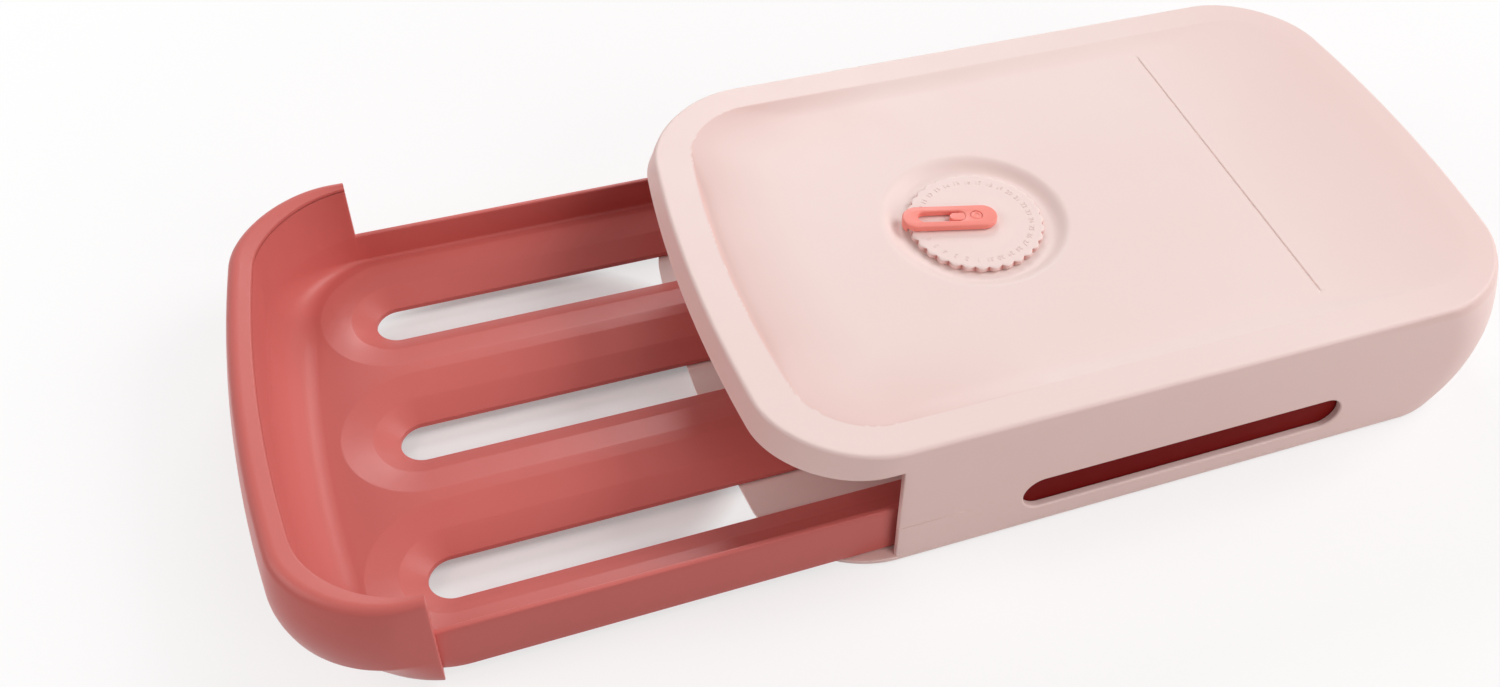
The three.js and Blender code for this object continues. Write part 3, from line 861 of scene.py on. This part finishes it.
def deck_rows(shape):
    """From the deck up through the fillet, which is wide in front, to the foot of the wall."""
    base = tray_inside(DECK)
    away = outward(base)
    ahead = np.clip(-away[:, 1], 0, 1)
    fillet = SIDE_FILLET + (FRONT_FILLET - SIDE_FILLET) * ahead**2
    flat = base - away * (fillet + FILLET_MARGIN)[:, None]
    rows = [(flat, DECK)]
    for sine, cosine in arc(FILLET_STEPS):
        foot = base - away * (fillet * (1 - sine))[:, None]
        height = DECK + fillet * (1 + (FILLET_STRETCH - 1) * ahead) * (1 - cosine)
        if sine > DRAFT_START:
            foot += [tray_inside(z)[k] for k, z in enumerate(height)] - base
        rows.append((foot, height))
    return shape.rings(rows)


def slot_ring(x, radius, z):
    """A closed ring of a slot shape that runs along Y between two round ends."""
    ends = ((x, TROUGH_FRONT + TROUGH_RADIUS, math.pi), (x, TROUGH_REAR - TROUGH_RADIUS, 0))
    return [(*point, z) for point in round_ends(ends, radius)]


def trough_rows(shape, x):
    """One trough, from the deck down its two facets to the slot, and back out underneath."""
    drop = DECK - TRAY_BOTTOM - TRAY_SKIN
    step = STEP_RADIUS_SHARE * TROUGH_RADIUS
    upper = [
        (TROUGH_RADIUS + TROUGH_MARGIN, DECK),
        (TROUGH_RADIUS, DECK),
        (step, DECK - STEP_DROP_SHARE * drop),
        (SLOT_RADIUS, DECK - drop),
        (SLOT_RADIUS, TRAY_BOTTOM + SLOT_LAND),
    ]
    lower = [
        (SLOT_RADIUS, TRAY_BOTTOM),
        (step, DECK - STEP_DROP_SHARE * drop - TRAY_SKIN),
        (TROUGH_RADIUS, DECK - TRAY_SKIN),
    ]
    profile = eased_line(upper, TROUGH_EASE)[1:]
    rows = [shape.row(slot_ring(x, r, z)) for r, z in [*profile, *lower]]
    shape.strips(rows)
    return rows[0], rows[-1]


def make_tray():
    shape = Shape()
    deck = deck_rows(shape)
    low_top = TRAY_TOP - TRAY_EDGE
    inner = shape.rings([(tray_inside(low_top), low_top)])
    heights = (low_top, *TRAY_ROWS_HIGH, *TRAY_ROWS_LOW, TRAY_BOTTOM + TRAY_EDGE)
    levels = [(tray_outside(z), z) for z in heights]
    for rise, inset in rounding(TRAY_EDGE, EDGE_STEPS)[1:]:
        levels.append((tray_outside(TRAY_BOTTOM + rise, inset), TRAY_BOTTOM + rise))
    outer = shape.rings(levels)
    skirt = (TRAY_BOTTOM, TRAY_ROWS_LOW[-1], DECK - TRAY_SKIN)
    under = shape.rings((tray_under(z), z) for z in skirt)
    shape.strips([*deck, *inner])
    shape.strips([*outer, *under])
    places = [(k - (TROUGH_COUNT - 1) / 2) * TROUGH_PITCH for k in range(TROUGH_COUNT)]
    mouths, undersides = zip(*[trough_rows(shape, x) for x in places])
    shape.fill(deck[0], *mouths)
    shape.fill(under[-1], *undersides)

    # Rear and sides: the rounded top of the low wall
    inside = tray_inside(TRAY_TOP)
    outside = tray_outside(TRAY_TOP)
    low = []
    for across, rise in rounded_edge(TRAY_WALL, TRAY_EDGE, LOW_WALL_STEPS):
        share = across / TRAY_WALL
        low.append((inside * (1 - share) + outside * share, low_top + rise))
    low = shape.part((inner[-1], *shape.rings(low), outer[0]), REAR_PART)

    # Front: the tall wall behind the drawer front
    tall = []
    for z in (*TALL_INSIDE, FRONT_WALL_TOP):
        half = tray_inside(z)
        tall.append((narrowed(half, -end_inset(half, FRONT_CUT, -1)), z))
    tall += [(tray_outside(z), z) for z in (FRONT_WALL_TOP, *TALL_OUTSIDE)]
    tall = shape.part((inner[-1], *shape.rings(tall), outer[0]), FRONT_PART)
    for tall_end, low_end in ((-1, 0), (0, -1)):
        shape.face([row[tall_end] for row in tall] + [row[low_end] for row in low[::-1]])
    return shape.piece("tray")


def front_half(z, inset=0.0):
    """The fascia's outline at a height. Only its front part is used."""
    bulge = front_bulge(z)
    sizes = (HALF_WIDTH, HALF_LENGTH + bulge, HALF_LENGTH, front_corner(bulge), CORNER_RADIUS)
    return columns(half_plan(sizes, inset), FRONT_CUT)


def make_front():
    """The fascia and the rim that folds over the tray, swept round the front."""
    shape = Shape()
    outside = []
    for rise, inset in rounding(MOULD_EDGE, FOOT_STEPS)[::-1]:
        outside.append((front_half(TRAY_BOTTOM + rise, inset), TRAY_BOTTOM + rise))
    crease = [FRONT_CREASE + offset for offset in FASCIA_CREASE]
    for z in (*FASCIA_ROWS_LOW, *crease, *FASCIA_ROWS_HIGH, FRONT_TOP - RIM_ROUND):
        outside.append((front_half(z), z))
    for drop, inset in rounding(RIM_ROUND, RIM_STEPS)[1:]:
        outside.append((front_half(FRONT_TOP - drop, inset), FRONT_TOP - drop))

    edge = outside[-1][0]
    mouth = tray_inside(FRONT_TOP, -RIM_INNER_ROUND)
    rest = []
    for share in RIM_SHARES:
        tilted = FRONT_TOP - RIM_TILT * max(0, share - RIM_SHARES[0])
        rest.append((edge * (1 - share) + mouth * share, tilted))
    for spread, drop in rounding(RIM_INNER_ROUND, EDGE_STEPS)[1:]:
        rest.append((tray_inside(FRONT_TOP, -spread), tilted - drop))
    rim_under = FRONT_TOP - RIM_THICKNESS
    rest.append((tray_inside(FRONT_TOP), rim_under + RIM_UNDER_EDGE))
    rest.append((tray_inside(FRONT_TOP, -RIM_UNDER_EDGE), rim_under))
    rest += [(front_half(z, FASCIA_SKIN), z) for z in (rim_under, *FASCIA_ROWS_BACK)]

    ended = [(narrowed(half, end_inset(half, FRONT_CUT, -1)), z) for half, z in outside]
    rows = shape.part(shape.rings([*ended, *rest]), FRONT_PART)
    shape.strip(rows[-1], rows[0], closed=False)
    for end in (0, -1):
        shape.face([row[end] for row in rows])
    return shape.piece("fascia")


def turned(name, profile, x, y):
    """A body turned about a vertical line from a closed line of radius and height."""
    shape = Shape()
    rows = [shape.row(circle(x, y, radius, z, ROUND_STEPS)) for radius, z in profile]
    shape.strips([*rows, rows[0]])
    return smooth(shape.piece(name))


def beaded(radius, z, rise):
    """A ring round the dial that rises to a bead for each day."""
    points = []
    for a in np.linspace(0, 2 * math.pi, BEADS * BEAD_STEPS, endpoint=False):
        r = radius + rise * abs(math.sin(BEADS * a / 2))
        points.append((r * math.cos(a), DIAL_Y + r * math.sin(a), z))
    return points


def make_disc():
    """The dial disc: a profile of radius, height and share of the beads, turned about the pin."""
    shape = Shape()
    profile = [(PIN_HOLE, DISC_BOTTOM, 0)]
    for inset, rise, beads in DISC_FOOT:
        profile.append((DISC_RADIUS - inset, DISC_BOTTOM + rise, beads))
    for inset, drop, beads in DISC_SHOULDER:
        profile.append((DISC_RADIUS - inset, DISC_TOP - drop, beads))
    profile += [(HUB_RADIUS, DISC_TOP, 0), (PIN_HOLE + HUB_EDGE, DISC_TOP, 0)]
    profile.append((PIN_HOLE, DISC_TOP - HUB_EDGE, 0))
    rows = []
    for radius, z, beads in profile:
        root = BEAD_ROOT * beads
        rows.append(shape.row(beaded(radius - root, z, BEAD_RISE * beads + root)))
    shape.strips([*rows, rows[0]])
    disc = smooth(shape.piece("disc"))
    # Painted shade: the valleys between the beads, and a share of the beads, get the dial's shaded
    # colour, below the disc's top
    shade = []
    for vertex in disc.data.vertices:
        x, y, z = vertex.co / MM
        y -= DIAL_Y
        valley = 1 - abs(math.sin(BEADS * math.atan2(y, x) / 2))
        on_edge = DISC_RADIUS - math.hypot(x, y) < BEAD_SHADE_WIDTH and DISC_TOP - z > BEAD_SHADE_DROP
        shade.append(BEAD_SHADE + (1 - BEAD_SHADE) * valley if on_edge else 0)
    disc.data.attributes.new(SHADE_NAME, "FLOAT", "POINT").data.foreach_set("value", shade)
    return disc


def make_numbers():
    """Raised plain numbers for the days, round the disc."""
    work = bmesh.new()
    for day in range(1, BEADS + 1):
        text = bpy.data.curves.new("day", "FONT")
        text.body = str(day)
        text.size = NUMBER_SIZE * MM
        text.extrude = NUMBER_RISE * MM
        text.align_x = text.align_y = "CENTER"
        text.resolution_u = NUMBER_STEPS
        thing = added("day", text)
        view = bpy.context.evaluated_depsgraph_get()
        mesh = bpy.data.meshes.new_from_object(thing.evaluated_get(view))
        angle = -2 * math.pi * (day - 0.5) / BEADS + POINTER_TURN
        place = Matrix.Translation((0, DIAL_Y * MM, DISC_TOP * MM))
        turn = Matrix.Rotation(angle, 4, "Z") @ Matrix.Translation((0, NUMBER_RADIUS * MM, 0))
        mesh.transform(place @ turn)
        work.from_mesh(mesh)
        bpy.data.objects.remove(thing)
        bpy.data.meshes.remove(mesh)
    joined = bpy.data.meshes.new("numbers")
    work.to_mesh(joined)
    work.free()
    return added("dial_numbers", joined)


def long_round(near, far, half):
    """An outline along +X with two round ends."""
    ends = ((far - half, 0, -math.pi / 2), (near + half, 0, math.pi / 2))
    return round_ends(ends, half, POINTER_STEPS)


def plate(name, loops, low, high, edge):
    """A flat body with rounded edges. Each loop gives its points for an inset from its edge."""
    shape = Shape()
    turn = rounding(edge, EDGE_STEPS)
    levels = [(inset, low + rise) for inset, rise in turn]
    levels += [(inset, high - drop) for inset, drop in turn[::-1]]
    walls = []
    for loop in loops:
        walls.append([shape.row((x, y, z) for x, y in loop(inset)) for inset, z in levels])
        shape.strips(walls[-1])
    shape.fill(*[rows[0] for rows in walls])
    shape.fill(*[rows[-1] for rows in walls])
    return shape.piece(name)


def pointer_outline(inset):
    return long_round(inset - POINTER_TAIL, POINTER_REACH - inset, POINTER_WIDTH / 2 - inset)


def pointer_window(inset):
    return long_round(WINDOW_NEAR - inset, WINDOW_FAR + inset, POINTER_WINDOW / 2 + inset)


def tongue_outline(inset):
    near = WINDOW_NEAR - TONGUE_ROOT + inset
    return long_round(near, TONGUE_MIDDLE + TONGUE_RADIUS - inset, TONGUE_RADIUS - inset)


def lip_outline(inset):
    """The lip that hangs over the disc's edge: between the pointer's round end and a circle."""
    across = np.linspace(inset - LIP_HALF, LIP_HALF - inset, POINTER_STEPS)
    end = POINTER_WIDTH / 2 - LIP_SETBACK - inset
    outer = [(POINTER_REACH - POINTER_WIDTH / 2 + math.sqrt(end**2 - y**2), y) for y in across]
    inner = [(math.sqrt((LIP_INNER + inset) ** 2 - y**2), y) for y in across[::-1]]
    return outer + inner


def rod(name, radius, low, high):
    """A plain round body about the pin's line, to cut with."""
    shape = Shape()
    rows = [shape.row(circle(0, 0, radius, z, ROD_STEPS)) for z in (low, high)]
    shape.strips(rows)
    for row in rows:
        shape.fill(row)
    return shape.piece(name)


def make_pointer():
    """The pointer with its window, tongue and lip, and a seat and a hole for the pin."""
    high = POINTER_HIGH
    low = high - POINTER_THICKNESS
    above = high + CUT_BEYOND
    pointer = plate("pointer", [pointer_outline, pointer_window], low, high, POINTER_EDGE)
    tip = plate("tip", [tongue_outline], low + TONGUE_LIFT, high - TONGUE_DROP, TONGUE_EDGE)
    combine(pointer, tip, "UNION")
    combine(pointer, plate("lip", [lip_outline], POINTER_LOW, high - LIP_DROP, LIP_EDGE), "UNION")
    seat = rod("seat", PIN_HEAD + PIN_SEAT_GAP, high - PIN_SEAT_DEPTH, above)
    combine(pointer, seat, "DIFFERENCE")
    combine(pointer, rod("hole", PIN_HOLE, POINTER_LOW, above), "DIFFERENCE")
    turn = Matrix.Translation((0, DIAL_Y * MM, 0)) @ Matrix.Rotation(POINTER_TURN, 4, "Z")
    pointer.data.transform(turn)
    merge(pointer.data, SLIVER)
    return smooth(pointer)


def make_pin():
    """The pivot pin, with a foot below and a head with a dimple on top."""
    low, high = (corner.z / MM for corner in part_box("pivot_pin"))
    profile = [
        (CORE_RADIUS, low),
        (PIN_FOOT - PIN_FOOT_EDGE, low),
        (PIN_FOOT, low + PIN_FOOT_EDGE),
        (PIN_FOOT, low + PIN_FOOT_HEIGHT),
        (PIN_SHANK, low + PIN_FOOT_HEIGHT),
        (PIN_SHANK, high - PIN_HEAD_HEIGHT),
        (PIN_HEAD, high - PIN_HEAD_HEIGHT),
        (PIN_HEAD, high - PIN_EDGE_DROP),
        *[(radius, high - drop) for radius, drop in PIN_TOP],
        (CORE_RADIUS, high - PIN_TOP[-1][1]),
    ]
    return turned("pin", profile, 0, DIAL_Y)


def make_clip():
    """A push-on ring whose inner edge is slit into teeth."""
    low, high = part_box("pivot_clip")
    outer = (high.x - low.x) / 2 / MM
    section = [(radius, low.z) for radius in (CLIP_HOLE, outer - CLIP_EDGE, outer)]
    section += [(outer, high.z), (CLIP_HOLE, high.z)]
    count = CLIP_TEETH * TOOTH_STEPS
    shape = Shape()
    rows = []
    for radius, z in section:
        points = []
        for k in range(count):
            angle = 2 * math.pi * k / count
            in_slit = radius == CLIP_HOLE and k % TOOTH_STEPS < SLIT_STEPS
            r = radius + (SLIT_DEPTH if in_slit else 0)
            points.append((r * math.cos(angle), DIAL_Y + r * math.sin(angle), z / MM))
        rows.append(shape.row(points))
    shape.strips([*rows, rows[0]])
    return smooth(shape.piece("clip"), degrees=30)


def make_pad(number):
    """An anti-slip pad with a ring that stands on the shelf."""
    x, y, radius, bottom, top = pad_place(number)
    profile = [
        (CORE_RADIUS, bottom + PAD_RIM[0][1]),
        *[(radius - inset, bottom + rise) for inset, rise in PAD_RIM],
        (radius, top),
        (CORE_RADIUS, top),
    ]
    return turned(f"pad_{number}", profile, x, y)


def make_rail(side, name, node):
    """The guide rail: an upright web with a lip over the tray wall, its edges rounded."""
    low, high = (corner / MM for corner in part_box(node))
    outer = max(abs(low.x), abs(high.x))
    inner = outer - RAIL_WIDTH
    section = [
        (outer, low.z),
        (outer, high.z),
        (inner, high.z),
        (inner, high.z - RAIL_LIP),
        (outer - RAIL_WEB, high.z - RAIL_LIP),
        (outer - RAIL_WEB, low.z),
    ]
    closed = eased_line([section[-1], *section, section[0]], RAIL_EDGE, RAIL_STEPS)[1:-1]
    middle = np.mean(closed, axis=0)
    stations = [(low.y + along, inset) for along, inset in RAIL_ENDS]
    stations += [(high.y - along, inset) for along, inset in RAIL_ENDS[::-1]]
    shape = Shape()
    rows = []
    for y, inset in stations:
        points = []
        for x, z in closed:
            away = np.sign(np.array((x, z)) - middle)
            points.append((side * (x - away[0] * inset / 2), y, z - away[1] * inset / 2))
        rows.append(shape.row(points))
    shape.strips(rows)
    shape.face(rows[0])
    shape.face(rows[-1])
    return smooth(shape.piece(name), degrees=40)


# Materials
def linear(red, green, blue):
    """A screen colour from 0 to 255 as scene-linear values."""

    def one(value):
        value /= 255
        return value / 12.92 if value <= 0.04045 else ((value + 0.055) / 1.055) ** 2.4

    return (one(red), one(green), one(blue), 1)


DRIFT_SCALE = 14
DRIFT_DETAIL = 3
DRIFT_SHARE = 0.5
GLOSS_SCALE = 60
GLOSS_DETAIL = 4
GLOSS_LESS = 0.02
GLOSS_MORE = 0.03
GRAIN_SCALE = 9000
GRAIN_DETAIL = 2
GRAIN_DEPTH = 0.02
NOISE_RANGE = (0.3, 0.7)
PLASTIC_IOR = 1.46


def feed(tree, node, inputs):
    """Sets a node's inputs, each to a value or to what another node gives."""
    for name, value in inputs.items():
        if isinstance(value, bpy.types.NodeSocket):
            tree.links.new(value, node.inputs[name])
        else:
            node.inputs[name].default_value = value


def result(tree, kind, output, inputs, **settings):
    """What a new node with these settings and inputs gives."""
    node = tree.nodes.new(kind)
    for name, value in settings.items():
        setattr(node, name, value)
    feed(tree, node, inputs)
    return node.outputs[output]


def place_of(tree):
    return result(tree, "ShaderNodeTexCoord", "Object", {})


def mapped(tree, value, before, after, **settings):
    """A value taken from one range to another."""
    inputs = {"Value": value}
    inputs["From Min"], inputs["From Max"] = before
    inputs["To Min"], inputs["To Max"] = after
    return result(tree, "ShaderNodeMapRange", "Result", inputs, **settings)


def colour_mix(tree, first, second, share):
    inputs = {"A": first, "B": second, "Factor": share}
    return result(tree, "ShaderNodeMix", "Result", inputs, data_type="RGBA")


def plastic(name, colour, deep, roughness, sheen=0.0, level=0.5, shaded=None):
    """Moulded plastic: slow drifts of colour and gloss, a fine grain in the surface, and painted
    shade where a shaded colour is given.
    """
    material = bpy.data.materials.new(name)
    material.use_nodes = True
    tree = material.node_tree
    place = place_of(tree)

    def noise(scale, detail):
        inputs = {"Vector": place, "Scale": scale, "Detail": detail}
        return result(tree, "ShaderNodeTexNoise", "Fac", inputs)

    drift = mapped(tree, noise(DRIFT_SCALE, DRIFT_DETAIL), NOISE_RANGE, (0, DRIFT_SHARE))
    tone = colour_mix(tree, linear(*colour), linear(*deep), drift)
    # Painted shade: the shaded colour is mixed in as far as the piece's stored shade attribute says
    if shaded:
        held = result(tree, "ShaderNodeAttribute", "Fac", {}, attribute_name=SHADE_NAME)
        tone = colour_mix(tree, tone, linear(*shaded), held)
    spread = (roughness - GLOSS_LESS, roughness + GLOSS_MORE)
    grain = {
        "Strength": 1,
        "Distance": GRAIN_DEPTH * MM,
        "Height": noise(GRAIN_SCALE, GRAIN_DETAIL),
    }
    inputs = {
        "Base Color": tone,
        "Roughness": mapped(tree, noise(GLOSS_SCALE, GLOSS_DETAIL), NOISE_RANGE, spread),
        "Normal": result(tree, "ShaderNodeBump", "Normal", grain),
        "Sheen Weight": sheen,
        "IOR": PLASTIC_IOR,
        "Specular IOR Level": level,
    }
    feed(tree, tree.nodes["Principled BSDF"], inputs)
    return material


PALE = (244, 226, 221)
PALE_DEEP = (241, 220, 215)
# The lid's shaded colour is painted shade, laid on where the lid stores its shade
PINK = plastic("pale_pink_plastic", PALE, PALE_DEEP, 0.5, shaded=(234, 204, 198))
# The dial's shaded colour is painted shade for the valleys between the disc's beads
DIAL_PINK = plastic("dial_plastic", PALE, PALE_DEEP, 0.5, shaded=(196, 132, 124))
CORAL = plastic("coral_plastic", (211, 114, 108), (205, 107, 102), 0.31, level=0.26)
# The rails' red is the drawer's plastic darkened well below its coral: painted shade for the inside
# of the case seen through the side windows
SHADED_RED = plastic("red_plastic_painted_shade", (118, 16, 12), (108, 13, 10), 0.6, level=0.1)
SALMON = plastic("salmon_plastic", (250, 148, 136), (246, 140, 128), 0.38)
WHITE = plastic("white_plastic", (232, 229, 226), (224, 220, 218), 0.45)
GREY = plastic("grey_silicone", (186, 179, 178), (176, 169, 168), 0.75, sheen=0.1)


def dress(thing, material, body, slot, *nodes):
    """Gives a piece its material and body, and the CAD node that it replaces, if any. The slot is
    not used.
    """
    thing.data.materials.clear()
    thing.data.materials.append(material)
    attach(thing, body)
    if nodes:
        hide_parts(*nodes)


def shifted(thing):
    """Moves a drawer piece, made at its closed place, to where the drawer rests."""
    thing.data.transform(Matrix.Translation((0, -PULL * MM, 0)))
    return smooth(thing)


dress(make_shell(), PINK, "case", "case_plastic", "outer_shell")
dress(make_base(), PINK, "case", "case_plastic", "base_plate")
dress(shifted(make_tray()), CORAL, "drawer", "drawer_plastic", "drawer_tray")
dress(shifted(make_front()), CORAL, "drawer", "drawer_plastic", "drawer_front")
for rail_side, rail_name in ((-1, "left"), (1, "right")):
    rail_node = f"guide_rail_{rail_name}"
    rail = make_rail(rail_side, f"rail_{rail_name}", rail_node)
    dress(rail, SHADED_RED, "case", "drawer_plastic", rail_node)
dress(make_disc(), DIAL_PINK, "dial", "case_plastic", "dial_disc")
dress(make_numbers(), PINK, "dial", "case_plastic")
dress(make_pointer(), SALMON, "pointer", "pointer_plastic", "date_pointer")
dress(make_pin(), SALMON, "case", "pointer_plastic", "pivot_pin")
dress(make_clip(), WHITE, "case", "clip_plastic", "pivot_clip")
for pad_number in PAD_NUMBERS:
    dress(make_pad(pad_number), GREY, "case", "silicone", f"foot_{pad_number}")

# Floor and light, in metres
FLOOR_Z = cad_low.z
FLOOR_REACH = 3
FLOOR_CELLS = 8
FLOOR_GLOW = 0.7
FLOOR_REACHES = (0.2, 0.6)
DRAWER_Y = -0.225
UNDER_GLOW = 0.25
UNDER_REACHES = (0.075, 0.1)
FLOOR_TONE = (0.98, 0.98, 0.98, 1)
FLOOR_BOUNCE = (0.62, 0.53, 0.52, 1)
FLOOR_ROUGHNESS = 0.9
FLOOR_LEVEL = 0.1
WORLD_STRENGTH = 0.12
LAMP_AIM = (0, -0.08, 0.03)
NO_TINT = (1, 1, 1)
FILL_TINT = (1, 0.82, 0.8)
LAMPS = (
    ("key", (0, 2.3, 2.1), 1.6, 55, NO_TINT),
    ("far", (-1.5, 0.25, 1.0), 0.6, 10, NO_TINT),
    ("near", (1.3, 0.55, 0.8), 0.9, 9, FILL_TINT),
    ("front", (-0.2, -1.4, 0.9), 0.9, 9, FILL_TINT),
)


def calculated(tree, operation, first, second):
    return result(tree, "ShaderNodeMath", "Value", {0: first, 1: second}, operation=operation)


def seen_directly(tree):
    """One for rays from the camera, also by way of a mirror or glass, else nought."""
    path = tree.nodes.new("ShaderNodeLightPath").outputs
    total = calculated(tree, "MAXIMUM", path["Is Camera Ray"], path["Is Glossy Ray"])
    return calculated(tree, "MAXIMUM", total, path["Is Transmission Ray"])


def whiten(tree, plain, share, output):
    """Mixes a share of plain white into a surface or the world."""
    glow = result(tree, "ShaderNodeEmission", "Emission", {})
    mix = result(tree, "ShaderNodeMixShader", "Shader", {"Fac": share, 1: plain, 2: glow})
    feed(tree, tree.nodes[output], {"Surface": mix})


def away_from(tree, middle, reach, share):
    """A share that grows with the distance on the floor from a point."""
    inputs = {0: place_of(tree), 1: middle}
    distance = result(tree, "ShaderNodeVectorMath", "Value", inputs, operation="DISTANCE")
    return mapped(tree, distance, reach, share, interpolation_type="SMOOTHSTEP")


def floor_material():
    """A pale floor, whose white is full far away and less under the open drawer."""
    material = bpy.data.materials.new("pale_floor")
    material.use_nodes = True
    tree = material.node_tree
    shader = tree.nodes["Principled BSDF"]
    seen = seen_directly(tree)
    inputs = {
        "Base Color": colour_mix(tree, FLOOR_BOUNCE, FLOOR_TONE, seen),
        "Roughness": FLOOR_ROUGHNESS,
        "Specular IOR Level": FLOOR_LEVEL,
    }
    feed(tree, shader, inputs)
    around = away_from(tree, (0, 0, FLOOR_Z), FLOOR_REACHES, (FLOOR_GLOW, 1))
    under = away_from(tree, (0, DRAWER_Y, FLOOR_Z), UNDER_REACHES, (UNDER_GLOW, 1))
    share = calculated(tree, "MULTIPLY", seen, calculated(tree, "MINIMUM", around, under))
    whiten(tree, shader.outputs["BSDF"], share, "Material Output")
    return material


def make_floor():
    shape = Shape()
    reach = FLOOR_REACH / MM
    places = np.linspace(-reach, reach, FLOOR_CELLS + 1)
    rows = [shape.row([(x, y, FLOOR_Z / MM) for x in places]) for y in places]
    shape.strips(rows, closed=False)
    floor = shape.piece("floor")
    for polygon in floor.data.polygons:
        if polygon.normal.z < 0:
            polygon.flip()
    floor.data.materials.append(floor_material())


def make_light():
    for name, place, size, power, tint in LAMPS:
        data = bpy.data.lights.new(name, "AREA")
        data.size = size
        data.energy = power
        data.color = tint
        lamp = added(name, data)
        lamp.location = place
        aim = Vector(LAMP_AIM) - Vector(place)
        lamp.rotation_euler = aim.to_track_quat("-Z", "Y").to_euler()
    world = bpy.data.worlds.new("studio")
    bpy.context.scene.world = world
    world.use_nodes = True
    tree = world.node_tree
    back = tree.nodes["Background"]
    feed(tree, back, {"Color": (1, 1, 1, 1), "Strength": WORLD_STRENGTH})
    whiten(tree, back.outputs["Background"], seen_directly(tree), "World Output")


# Camera: where the photograph was taken from, with its frame 1500 pixels wide and 687 high
PHOTO_WIDTH = 1500
PHOTO_HEIGHT = 687
AXIS_X = 900
AXIS_Y = 270
FOCAL_PIXELS = 1543.3
CAMERA_PLACE = (402.6, -261.4, 476.8)
CAMERA_TURN = (45.381, -3.901, 68.901)
SENSOR = 36
CLIP_START = 0.01
CLIP_END = 20


def make_camera():
    data = bpy.data.cameras.new("camera")
    data.sensor_width = SENSOR
    data.lens = FOCAL_PIXELS * SENSOR / PHOTO_WIDTH
    data.shift_x = (PHOTO_WIDTH / 2 - AXIS_X) / PHOTO_WIDTH
    data.shift_y = (AXIS_Y - PHOTO_HEIGHT / 2) / PHOTO_WIDTH
    data.clip_start = CLIP_START
    data.clip_end = CLIP_END
    camera = added("camera", data)
    camera.location = Vector(CAMERA_PLACE) * MM
    camera.rotation_euler = Euler([math.radians(a) for a in CAMERA_TURN])
    bpy.context.scene.camera = camera


make_floor()
make_light()
make_camera()
bpy.context.scene.view_settings.view_transform = "Standard"
